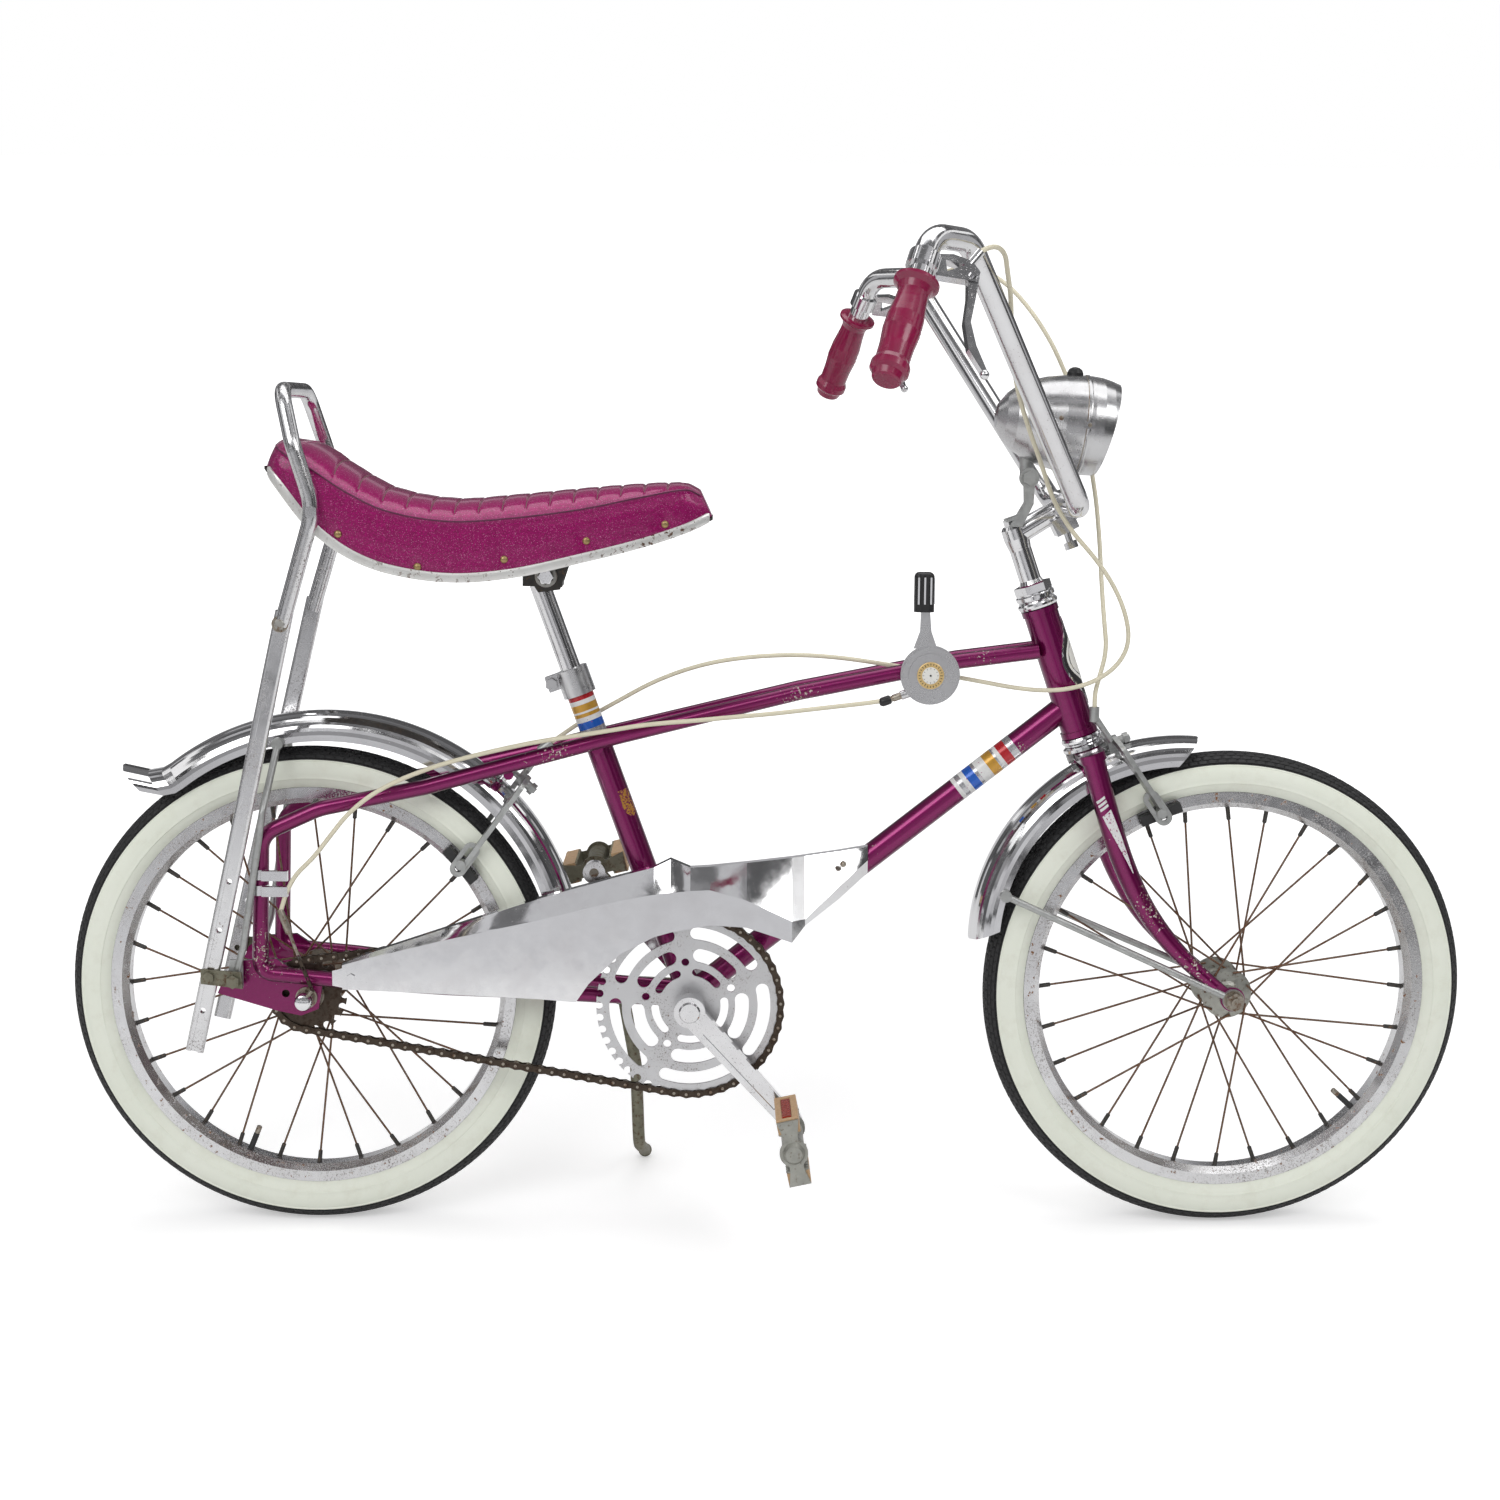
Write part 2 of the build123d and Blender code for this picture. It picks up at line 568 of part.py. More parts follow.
# Chain: one closed loop with the outline of its plates
def belt(r_add):
    r1, r2 = RING_PITCH_R + r_add, COG_PITCH_R + r_add
    dx, dz = -BB_X, AXLE_Z - BB_Z
    d = hypot(dx, dz)
    base = atan2(dz, dx)
    off = acos((r1 - r2) / d)
    res = []
    n1, n2 = 36, 18
    a0, a1 = base + off, base - off + 2 * pi
    for k in range(n1 + 1):
        a = a0 + (a1 - a0) * k / n1
        res.append((BB_X + r1 * cos(a), BB_Z + r1 * sin(a)))
    b0, b1 = base - off, base + off
    for k in range(n2 + 1):
        a = b0 + (b1 - b0) * k / n2
        res.append((r2 * cos(a), AXLE_Z + r2 * sin(a)))
    return res


chain = plate(belt(4.2), CHAIN_Y - CHAIN_HALF, CHAIN_Y + CHAIN_HALF)
chain -= plate(belt(-4.2), CHAIN_Y - 10, CHAIN_Y + 10)
chain -= disc(BB_X, BB_Z, CHAIN_Y - 1.7, CHAIN_Y + 1.7, RING_PITCH_R + 4.0)
chain -= disc(0, AXLE_Z, CHAIN_Y - 1.7, CHAIN_Y + 1.7, COG_PITCH_R + 3.4)
add("chain", chain)

# Crankset
crank_dir = Vector(cos(radians(CRANK_REST)), 0, sin(radians(CRANK_REST)))
BBP = Vector(BB_X, 0, BB_Z)
cax = disc(BB_X, BB_Z, -CRANK_Y - 6, CRANK_Y + 6, 8.0)
add("crank_axle", cax, "crankset")
ch = disc(BB_X, BB_Z, CHAIN_Y - 1.3, CHAIN_Y + 1.3, RING_PITCH_R + 2.6)
for k in range(RING_TEETH):
    a = 2 * pi * k / RING_TEETH
    ch -= disc(BB_X + RING_PITCH_R * cos(a), BB_Z + RING_PITCH_R * sin(a),
               CHAIN_Y - 5, CHAIN_Y + 5, 4.0)
ARMS = 5
SLOTS = [(76.0, 13.0, 50.0), (53.5, 14.0, 38.0), (35.5, 8.0, 40.0)]     # radius, width, degrees
RING_PL = Plane(origin=(BB_X, CHAIN_Y + 5, BB_Z), x_dir=(1, 0, 0), z_dir=(0, -1, 0))
for k in range(ARMS):
    mid = CRANK_REST + 36 + 360 / ARMS * k
    for r, w, wide in SLOTS:
        arc = CenterArc((0, 0), r, mid - wide / 2, wide)
        ch -= extrude(RING_PL * SlotArc(arc, w), amount=10)
    a = radians(CRANK_REST + 360 / ARMS * k)
    ch -= disc(BB_X + 46 * cos(a), BB_Z + 46 * sin(a), CHAIN_Y - 5, CHAIN_Y + 5, 4.0)
ch -= disc(BB_X, BB_Z, CHAIN_Y - 5, CHAIN_Y + 5, 14)
add("chainring", ch, "crankset")


def crank_arm(sg):
    d = crank_dir * (1 if sg < 0 else -1)
    y0, y1 = sg * CRANK_Y, sg * (CRANK_Y + CRANK_T)
    e = BBP + d * CRANK
    n = Vector(-d.Z, 0, d.X)
    c = rod((BB_X, y0, BB_Z), (BB_X, y1, BB_Z), 16)
    c += rod((e.X, y0, e.Z), (e.X, y1, e.Z), 12)
    quad = [BBP + n * 12, e + n * 9, e - n * 9, BBP - n * 12]
    c += plate([(q.X, q.Z) for q in quad], min(y0, y1), max(y0, y1))
    inner = [BBP + d * 26 + n * 5, e - d * 22 + n * 3.4, e - d * 22 - n * 3.4, BBP + d * 26 - n * 5]
    ya, yb = sg * (CRANK_Y + CRANK_T - 2.5), sg * (CRANK_Y + CRANK_T + 2)
    c -= plate([(q.X, q.Z) for q in inner], min(ya, yb), max(ya, yb))
    c += rod((BB_X, y1, BB_Z), (BB_X, sg * (CRANK_Y + CRANK_T + 2.5), BB_Z), 11, 9.5)
    c -= disc(BB_X, BB_Z, sg * 20, sg * (CRANK_Y + 6), 8.0)
    c -= disc(e.X, e.Z, sg * 40, sg * 100, 5.0)
    return c


crank_hub = ring((BB_X, -CRANK_Y, BB_Z), (BB_X, CHAIN_Y + 1.3, BB_Z), 14, 8.0)
add("cranks", group([crank_arm(-1) + crank_hub, crank_arm(1)]), "crankset")
cups = [ring((BB_X, sg * 20, BB_Z), (BB_X, sg * BB_HALF, BB_Z), BORE_R, 8.4)
        + ring((BB_X, sg * BB_HALF, BB_Z), (BB_X, sg * (BB_HALF + 4), BB_Z), 18, 8.4) for sg in (1, -1)]
add("bottom_bracket_cups", group(cups))


# Pedals: caged, with a reflector block at each end
def pedal(sg, name):
    d = crank_dir * (1 if sg < 0 else -1)
    e = BBP + d * CRANK
    ya, yb = (PEDAL_Y, PEDAL_Y + PEDAL_LEN) if sg > 0 else (-PEDAL_Y - PEDAL_LEN, -PEDAL_Y)
    sp = disc(e.X, e.Z, sg * (CRANK_Y + 1), sg * (PEDAL_Y + PEDAL_LEN - 6), 4.8)
    sp += disc(e.X, e.Z, sg * (CRANK_Y + CRANK_T), sg * (PEDAL_Y - 4), 7.5)
    add("pedal_spindle_" + name, sp, "pedal_" + name)
    cage = disc(e.X, e.Z, ya + 1, yb - 1, 11)
    for y0, y1 in ((ya, ya + 3), (yb - 3, yb)):
        half = PEDAL_HALF
        cage += plate([(e.X - half, e.Z - 11), (e.X - half, e.Z + 11), (e.X - 17, e.Z + 7),
                       (e.X + 17, e.Z + 7), (e.X + half, e.Z + 11), (e.X + half, e.Z - 11),
                       (e.X + 17, e.Z - 7), (e.X - 17, e.Z - 7)], y0, y1)
        cage += disc(e.X, e.Z, y0, y1, 14)
    cap = (e.X, sg * (PEDAL_Y + PEDAL_LEN), e.Z)
    cage += rod(cap, (e.X, sg * (PEDAL_Y + PEDAL_LEN + 5), e.Z), 11, 8)
    saw = []
    for h in (-1, 1):
        saw_pts = []
        n = 10
        for k in range(n):
            y = ya + 3 + (yb - ya - 6) * k / n
            step = (yb - ya - 6) / n
            saw_pts += [(y, 8.5), (y + step / 2, 11.5)]
        saw_pts += [(yb - 3, 8.5), (yb - 3, -8.5)]
        for k in range(n):
            y = yb - 3 - (yb - ya - 6) * k / n
            step = (yb - ya - 6) / n
            saw_pts += [(y - step / 2, -11.5), (y - step, -8.5)]
        x = e.X + h * (PEDAL_HALF - 14)
        face = make_face(Polyline(*[(x - 1, y, e.Z + z) for y, z in saw_pts], close=True))
        cage += extrude(face, amount=2, dir=(1, 0, 0))
    cage -= disc(e.X, e.Z, sg * 60, sg * (PEDAL_Y + PEDAL_LEN - 6), 4.8)
    axis = Axis((e.X, 0, e.Z), (0, -1, 0))
    add("pedal_body_" + name, cage.rotate(axis, PEDAL_TURN[name]), "pedal_" + name)
    bl = []
    for h in (1, -1):
        x0, x1 = sorted((e.X + h * (PEDAL_HALF - 13), e.X + h * (PEDAL_HALF + 1)))
        b = block(x0, x1, ya + 3, yb - 3, e.Z - 11, e.Z + 11)
        slot = (x1 - 1.5, x1 + 2) if h > 0 else (x0 - 2, x0 + 1.5)
        b -= block(slot[0], slot[1], ya + 10, yb - 10, e.Z - 5, e.Z + 5)
        b -= cage
        bl.append(biggest(b).rotate(axis, PEDAL_TURN[name]))
    add("pedal_blocks_" + name, group(bl), "pedal_" + name)


pedal(-1, "right")
pedal(1, "left")

# Side stand
lug = disc(STAND_X, STAND_Z, 28, STAND_Y - 7, 13)
lug += plate([(STAND_X - 12, STAND_Z + 2), (STAND_X - 16, STAND_Z + 17), (STAND_X + 54, STAND_Z + 14),
              (STAND_X + 54, STAND_Z + 2), (STAND_X + 12, STAND_Z - 3)], 28, STAND_Y - 7)
lug += disc(STAND_X, STAND_Z, 30, STAND_Y + 12, 5)
lug += hexa((STAND_X, STAND_Y + 7.5, STAND_Z), (STAND_X, STAND_Y + 12, STAND_Z), 8)
add("stand_bracket", biggest(lug - main))
foot_z = FOOT_Y * tan(radians(LEAN)) + STAND_R + 0.9
leg_pts = [(STAND_X, STAND_Y, STAND_Z), (STAND_X + 15, STAND_Y + 2, STAND_Z - 86),
           (STAND_X + 18, STAND_Y + 5, 62), (STAND_X + 22, FOOT_Y, foot_z)]
stand = bent(leg_pts, [90, 22], STAND_R)
stand += rod((STAND_X, STAND_Y - 6.9, STAND_Z), (STAND_X, STAND_Y + 7.4, STAND_Z), 12)
stand += Pos(*leg_pts[-1]) * Sphere(STAND_R + 1)
stand -= disc(STAND_X, STAND_Z, 30, STAND_Y + 12, 5.25)
add("stand_leg", stand, "stand")

# Fork
SB = "steering"
steerer = rod(at_axis(CROWN_LOW + 2), at_axis(HEAD_TOP + 26), STEERER_R)
crown_pl = Plane(origin=at_axis((CROWN_TOP + CROWN_LOW) / 2), x_dir=(0, 1, 0), z_dir=tuple(AX))
crown = crown_pl * Box(2 * BLADE_Y + 20, 27, CROWN_TOP - CROWN_LOW)
crown = fillet(crown.edges().filter_by(lambda e: abs((e % 0).dot(AX)) > 0.9), 10)
BOLT_S = (CROWN_TOP + CROWN_LOW) / 2
BOLT_R = 3.0
BLADE = [
    # x, y out from the crown's, z, radius
    (801.4, 0.0, 486.6, 11.8), (824.7, 1.0, 402.1, 11.6), (847.8, 2.0, 351.3, 11.0),
    (877.9, 4.0, 308.6, 10.0), (914.2, 7.5, 273.0, 8.2), (944, 9.5, 250, 6.0),
]


def blade(sg):
    top = at_axis(CROWN_TOP - 1, 0, BLADE_Y)
    pts = [(top.X, sg * BLADE_Y, top.Z)]
    for x, dy, z, r in BLADE[1:]:
        bx, bz = wp(x, z)
        pts.append((bx, sg * (BLADE_Y + dy), bz))
    path = Spline(*pts)
    cuts = [(0, 11.8), (0.4, 11.2), (0.75, 9.0), (1, 6.0)]
    secs = [(Plane(origin=path @ t, z_dir=path % t) * Circle(r)).face() for t, r in cuts]
    return sweep(secs, path=path, multisection=True)


fork = steerer + crown
for sg in (1, -1):
    fork += blade(sg)
    end = disc(WHEELBASE, AXLE_Z, sg * FORK_END_Y, sg * (FORK_END_Y + 5), 12.5)
    fork += end
    fork -= disc(WHEELBASE, AXLE_Z, sg * 20, sg * FORK_END_Y, 22)
    fork -= disc(WHEELBASE, AXLE_Z, sg * (FORK_END_Y + 5), sg * 90, 22)
fork -= disc(WHEELBASE, AXLE_Z, -90, 90, 4.8)
fork -= rod(at_axis(BOLT_S, -40), at_axis(BOLT_S, 60), BOLT_R)
fork = biggest(fork)
add("fork", fork, SB)
add("front_mudguard", biggest(cut_by(front_guard, fork)), SB)

race_prof = [(STEERER_R, HEAD_LOW - CUP - 0.6), (18.5, HEAD_LOW - CUP - 0.6), (21.5, HEAD_LOW - CUP - 2.6),
             (22.0, CROWN_TOP + 1.0), (20.5, CROWN_TOP), (STEERER_R, CROWN_TOP)]
top0 = HEAD_TOP + CUP + 0.6
nut_prof = [(STEERER_R, top0), (18.6, top0), (20.2, top0 + 1.4), (20.2, top0 + 5.0), (18.4, top0 + 6.4),
            (STEERER_R, top0 + 6.4)]
lock = hexa(at_axis(top0 + 7.6), at_axis(top0 + 15.6), 19.5)
lock += rod(at_axis(top0 + 6.4), at_axis(top0 + 7.6), 19.0)
lock -= rod(at_axis(top0), at_axis(top0 + 30), STEERER_R)
add("headset_nuts", group([turned(HEAD_O, AX, race_prof), turned(HEAD_O, AX, nut_prof) + lock]), SB)

# Stem: quill, forged arm and bar clamp
QTOP = 132.0
CLAMP = hp(768.2, 0, 751.2)
BAR0 = (CLAMP - at_axis(QTOP)).normalized()
quill = [(4.0, HEAD_TOP + 26), (STEERER_R, HEAD_TOP + 26), (11.2, HEAD_TOP + 30), (11.2, QTOP - 20),
         (13.2, QTOP - 8), (13.2, QTOP + 3), (11.0, QTOP + 6), (4.0, QTOP + 6)]
stem = turned(HEAD_O, AX, quill)
stem += rod(at_axis(QTOP - 4), CLAMP, 12.0, 10.5)
stem += rod(CLAMP + Vector(0, -20, 0), CLAMP + Vector(0, 20, 0), 15.5)
LUG = CLAMP + Vector(-2, 0, -19)
stem += Plane(origin=LUG, x_dir=BAR0, z_dir=(0, 1, 0)) * Box(24, 17, 26)
stem -= rod(CLAMP + Vector(0, -30, 0), CLAMP + Vector(0, 30, 0), BAR_R)
stem += rod(LUG + Vector(8, -3, -22), LUG + Vector(-1, 0, 4), 3.6)
stem += hexa(LUG + Vector(9.2, -3.4, -25), LUG + Vector(6.6, -2.5, -18), 7)
stem += hexa(at_axis(QTOP + 6), at_axis(QTOP + 13), 8.5)
add("stem", biggest(stem - steerer), SB)

# Handlebar
GRIP_END = hp(551.5, 365.0, 873.5)
BAR = [tuple(GRIP_END), tuple(hp(594.0, 295.5, 994)), tuple(hp(632.3, 251.2, 993)),
       tuple(hp(768.2, 84.0, 751.2))]
bar_path = BAR + [(x, -y, z) for x, y, z in reversed(BAR)]
bar = bent(bar_path, [34, 34, 30, 30, 34, 34], BAR_R)
bar = biggest(bar)
add("handlebar", bar, SB)


def grip(sg):
    end = GRIP_END
    d = (Vector(*BAR[0]) - Vector(*BAR[1])).normalized()
    prof = [(0, 9), (11.5, 9), (13.0, 7.5), (14.5, 2), (17.4, -1), (17.4, -7), (15.0, -12), (15.2, -26),
            (16.8, -42), (16.4, -56), (14.4, -72), (13.8, -82), (16.0, -88), (20.4, -91.5), (20.4, -94.5),
            (16, -96), (0, -96)]
    g = turned(end, d, prof)
    front = Vector(d.Z, 0, -d.X).normalized() * -1
    if front.X < 0:
        front = front * -1
    for k in range(13):
        c = end + d * (-14 - 5 * k)
        p = c + front * 17.2
        g -= rod(p - Vector(0, 14, 0), p + Vector(0, 14, 0), 1.3)
    g -= rod(end - d * 110, end, BAR_R)
    g = biggest(g - bar)
    return g if sg > 0 else mirror_y(g)


add("grips", group([grip(1), grip(-1)]), SB)


# Brake levers
LEVER_EXIT = hp(637.5, 292, 980.5)


def lever():
    d = (Vector(*BAR[1]) - Vector(*BAR[0])).normalized()
    g = GRIP_END + d * 116.5
    h = hp(629.5, 300, 960)
    b = hp(637, 345, 872)
    x = (h - g).normalized()
    n = x.cross(b - g).normalized()
    pl = Plane(origin=g, x_dir=x, z_dir=n)
    body = [(8, -8), (26, -13), (44, -11), (52, -2), (50, 9), (38, 10), (12, 13)]
    hole = [(19, -5), (37, -5), (21, 6)]
    s = extrude(pl * make_face(Polyline(*body, close=True)), amount=4.5, both=True)
    s -= extrude(pl * make_face(Polyline(*hole, close=True)), amount=10, both=True)
    s += rod(g - d * 7, g + d * 7, 14.5)
    ex = (b - g).dot(x)
    spine = [(41, 0), (42, 26), (40, 52), (ex - 18, 78), (ex - 3, 98)]
    edge = [(52, 2), (49, 28), (46, 50), (ex - 11, 72), (ex + 1, 96)]
    blade_pts = edge + list(reversed(spine))
    s += extrude(pl * make_face(Polyline(*blade_pts, close=True)), amount=3.2, both=True)
    tip = pl.from_local_coords(Vector(ex - 1, 97, 0))
    s += Pos(*tip) * Sphere(4.4)
    pin = pl.from_local_coords(Vector(46, 1, 0))
    s += rod(pin - n * 7, pin + n * 7, 4.5)
    fer = pl.from_local_coords(Vector(42, -8, 0))
    s += rod(fer, LEVER_EXIT, 4.2)
    s -= rod(g - d * 15, g + d * 15, BAR_R)
    return biggest(s)


lev = lever()
add("brake_levers", group([lev, mirror_y(lev)]), SB)

# Headlamp: a turned shell, cut at a slant in front, with a hooded lens
LAMP_C = hp(787, 0, 831)
LAMP_TILT = -6.0
LAMP_D = Vector(cos(radians(LAMP_TILT)), 0, sin(radians(LAMP_TILT)))
LAMP_UP = Vector(-LAMP_D.Z, 0, LAMP_D.X)
LAMP_R = 50.0
lamp_prof = [(0, -94), (12, -92), (24, -84), (32.5, -74), (40, -60), (44.5, -46), (48, -28), (49.6, -10),
             (LAMP_R, 0), (49.4, 10), (47.2, 20), (44.0, 30), (42, 36), (0, 36)]
lamp_in = [(0, -40), (30, -38), (42, -22), (47.6, -8), (48.6, 0), (47.9, 10), (45.7, 20), (42.5, 30),
           (40.4, 36), (38, 44), (0, 44)]
shell = turned(LAMP_C, LAMP_D, lamp_prof)
cave = turned(LAMP_C, LAMP_D, lamp_in)
CUT_N = (LAMP_D * 0.9876 - LAMP_UP * 0.1568).normalized()
cut_o = LAMP_C + LAMP_D * 20.8
cut_pl = Plane(origin=cut_o, z_dir=tuple(CUT_N))
front_cut = cut_pl * Box(160, 160, 60, align=(Align.CENTER, Align.CENTER, Align.MIN))
slab = Plane(origin=cut_o - CUT_N * 8, z_dir=tuple(CUT_N)) * Box(160, 160, 4)
lens = cave & slab
shell = biggest(cut_by(shell, cave, front_cut))
add("headlamp_shell", shell, SB)
add("headlamp_lens", biggest(lens), SB)
knob_o = LAMP_C + LAMP_D * -18 + LAMP_UP * 48.2
knob = turned(knob_o, LAMP_UP, [(0, -2), (8.2, -2), (8.2, 3), (6.6, 6.5), (3.5, 8.4), (0, 9)])
add("headlamp_switch", biggest(knob - turned(LAMP_C, LAMP_D, lamp_prof)), SB)

# Lamp strap from the stem's bolt to the boss under the lamp
BOSS = hp(727.7, -16, 778.6)
EYE = at_axis(QTOP + 6)
strap = plate([(EYE.X - 6, EYE.Z - 1), (EYE.X + 7, EYE.Z - 1), (BOSS.X + 5, EYE.Z + 22), (BOSS.X + 6, BOSS.Z),
               (BOSS.X - 6, BOSS.Z), (BOSS.X - 5, EYE.Z + 24)], -18, -14.5)
strap += rod((BOSS.X, -18, BOSS.Z), (BOSS.X, -14.5, BOSS.Z), 10)
strap += hexa((BOSS.X, -22, BOSS.Z), (BOSS.X, -18, BOSS.Z), 7.5)
strap += rod((BOSS.X, -14.5, BOSS.Z), (BOSS.X, 0, BOSS.Z), 6)
strap += rod((BOSS.X, 0, BOSS.Z), tuple(LAMP_C - LAMP_D * 58 - LAMP_UP * 30), 7)
strap += Plane(origin=EYE + Vector(0, -9, 0) + AX * 7.6, x_dir=(0, 1, 0), z_dir=tuple(AX)) * Box(20, 14, 3)
strap = biggest(cut_by(strap, shell, stem))
add("headlamp_bracket", strap, SB)

# Front axle and mudguard stays
fax = disc(WHEELBASE, AXLE_Z, -72, 72, 4.8)
for sg in (1, -1):
    fax += hexa((WHEELBASE, sg * 61.5, AXLE_Z), (WHEELBASE, sg * 69, AXLE_Z), 9.5)
    fax += disc(WHEELBASE, AXLE_Z, sg * 60, sg * 61.5, 10.5)
    fax += disc(WHEELBASE, AXLE_Z, sg * (FORK_END_Y - 1.5), sg * FORK_END_Y, 8)
add("front_axle", fax, SB)


def front_stay(sign):
    a = wp(711.4, 353.1)
    top = Vector(a[0], sign * (GUARD_HALF + 2.6), a[1])
    low = Vector(WHEELBASE, sign * 57.5, AXLE_Z)
    d = (top - low).normalized()
    s = rod(low + d * 10, top, 3.6)
    s += disc(WHEELBASE, AXLE_Z, sign * 55.1, sign * 59.9, 11)
    s += rod(top + Vector(0, -sign * 3, 0), top + Vector(0, sign * 4.5, 0), 6)
    s -= disc(WHEELBASE, AXLE_Z, sign * 40, sign * 80, 4.8)
    return s


fst = [biggest(cut_by(front_stay(sg), fork, nodes["front_mudguard"])) for sg in (1, -1)]
add("front_mudguard_stays", group(fst), SB)


# Brake callipers: arms bent round the guard, and their blocks on the rim
def calliper(o, fwd, to_rim, drop, tangent, bolt_back, bolt_front, pull_y, pull_dir):
    arm_y = GUARD_HALF + 4.5
    shapes = []
    for side, shift_f in ((1, 0.0), (-1, 5.2)):
        c = o + fwd * shift_f
        pts = [(-side * 4, 2), (side * 20, -8), (side * arm_y, 2), (side * arm_y, drop - 20),
               (side * (arm_y - 4), drop)]
        pts = [c + Vector(0, y, 0) + to_rim * d for y, d in pts]
        path = FilletPolyline(*[tuple(p) for p in pts], radius=[8, 8, 5])
        start = Plane(origin=path @ 0, x_dir=tuple(fwd), z_dir=path % 0)
        shapes.append(sweep(start * Rectangle(5, 8.5), path=path))
    arms = shapes[0] + shapes[1]
    arms += rod(o - fwd * bolt_back, o + fwd * bolt_front, BOLT_R)
    arms += rod(o - fwd * 2.5, o + fwd * 8, 7.5)
    arms += hexa(o + fwd * (bolt_front - 7), o + fwd * (bolt_front - 1.5), 6.5)
    arms += hexa(o - fwd * bolt_back, o - fwd * (bolt_back - 5.5), 6.5)
    arms += rod(o + fwd * 8, o + fwd * (bolt_front - 7), 4.6)
    pull = o + fwd * 1.0 + Vector(0, pull_y, 0) - to_rim * 6
    barrel = pull - to_rim * 32
    arms += rod(pull, barrel, 3.2)
    arms += rod(barrel - pull_dir * 6, barrel + pull_dir * 9, 5.0)
    pads = []
    for side in (1, -1):
        e = o + fwd * 2.6 + Vector(0, side * (arm_y - 5), 0) + to_rim * drop
        yy = (min(side * 17.6, side * (arm_y - 7)), max(side * 17.6, side * (arm_y - 7)))
        mid = Vector(e.X, (yy[0] + yy[1]) / 2, e.Z) + to_rim * 3
        pl = Plane(origin=mid, x_dir=tuple(tangent), z_dir=(0, 1, 0))
        pads.append(pl * Box(44, 10, yy[1] - yy[0]))
        loop_pl = Plane(origin=Vector(e.X, side * (arm_y - 4), e.Z) - to_rim * 6, x_dir=tuple(to_rim),
                        z_dir=(0, 1, 0))
        loop = extrude(loop_pl * (SlotOverall(40, 17) - SlotOverall(30, 7.5)), amount=1.8, both=True)
        arms += loop
        arms += rod((e.X, side * (arm_y - 8), e.Z), (e.X, side * (arm_y + 4), e.Z), 5)
    return arms, pads, barrel


fo = at_axis(BOLT_S, 26)
rim_pt = Vector(WHEELBASE, 0, AXLE_Z) + Vector(cos(radians(111.5)), 0, sin(radians(111.5))) * (RIM_OUT - 9)
down_f = (rim_pt - fo - FW * 2).normalized()
drop_f = (rim_pt - fo - FW * 2).length - 4
tan_f = Vector(sin(radians(111.5)), 0, -cos(radians(111.5)))
F_PULL = Vector(0, 0, 1)
f_arms, f_pads, f_barrel = calliper(fo, FW, down_f, drop_f, tan_f, 46, 22, -22, F_PULL)
f_arms = biggest(cut_by(f_arms, fork, nodes["front_mudguard"], nodes["headset_nuts"]))
f_pads = [biggest(cut_by(p, f_arms)) for p in f_pads]
add("front_brake_arms", f_arms, SB)
add("front_brake_pads", group(f_pads), SB)

T_BR = Vector(b_out.Z, 0, -b_out.X)
ro = bridge + T_BR * 13
r_ang = 40.5
rim_r = Vector(cos(radians(r_ang)), 0, sin(radians(r_ang))) * (RIM_OUT - 9) + Vector(0, 0, AXLE_Z)
down_r = (rim_r - ro - T_BR * 2).normalized()
drop_r = (rim_r - ro - T_BR * 2).length - 4
tan_r = Vector(sin(radians(r_ang)), 0, -cos(radians(r_ang)))
R_PULL = Vector(0.8, 0.12, 0.58).normalized()
r_arms, r_pads, r_barrel = calliper(ro, T_BR, down_r, drop_r, tan_r, 24, 20, 14, R_PULL)
r_hole = rod(ro - T_BR * 24, ro + T_BR * 20, BOLT_R)
main -= r_hole
r_arms = biggest(cut_by(r_arms, main, rear_guard))
r_pads = [biggest(cut_by(p, r_arms)) for p in r_pads]
add("rear_brake_arms", r_arms)
add("rear_brake_pads", group(r_pads))

# Shifter on the twin tubes
SH = fp(630, 580.7)
SH_Y = -26.0
dial = disc(SH[0], SH[1], SH_Y - 14, SH_Y, 28.5)
for k in range(40):
    a = 2 * pi * k / 40
    dial -= disc(SH[0] + 29.2 * cos(a), SH[1] + 29.2 * sin(a), SH_Y - 16, SH_Y + 2, 1.3)
dial += disc(SH[0], SH[1], SH_Y - 16, SH_Y - 14, 22)
dial -= disc(SH[0], SH[1], SH_Y - 17, SH_Y - 15, 15)
dial += disc(SH[0], SH[1], SH_Y - 15.6, SH_Y - 14.6, 13.8)
dial += block(SH[0] - 14, SH[0] + 14, SH_Y, -10, SH[1] - 9, SH[1] + 15)
dial += rod((SH[0] - 16, SH_Y - 6, SH[1] - 17), (SH[0] - 29, SH_Y - 7, SH[1] - 21.5), 4.6)
add("shifter_body", biggest(dial - main))
arm = plate([(SH[0] - 17, SH[1] + 27), (SH[0] - 11, SH[1] + 44), (SH[0] - 10, SH[1] + 72),
             (SH[0] - 2, SH[1] + 72), (SH[0] + 0.5, SH[1] + 44), (SH[0] + 7, SH[1] + 26)],
            SH_Y - 12, SH_Y - 8)
arm += disc(SH[0], SH[1], SH_Y - 12, SH_Y - 8, 30)
arm -= nodes["shifter_body"]
add("shifter_lever", biggest(arm))
kx, kz = SH[0] - 7.5, SH[1] + 84
knob = Pos(kx, SH_Y - 10, kz) * Box(20, 18, 40)
knob = fillet(knob.edges().filter_by(Axis.Z), 6)
knob = fillet(knob.faces().sort_by(Axis.Z)[-1].edges(), 5)
for dx, dy in ((-10, -4), (-10, 4), (10, -4), (10, 4), (-5, -9), (0, -9), (5, -9), (-5, 9), (0, 9), (5, 9)):
    knob -= block(kx + dx - 0.9, kx + dx + 0.9, SH_Y - 10 + dy - 0.9, SH_Y - 10 + dy + 0.9, kz - 12, kz + 30)
knob -= nodes["shifter_lever"]
add("shifter_knob", biggest(knob))


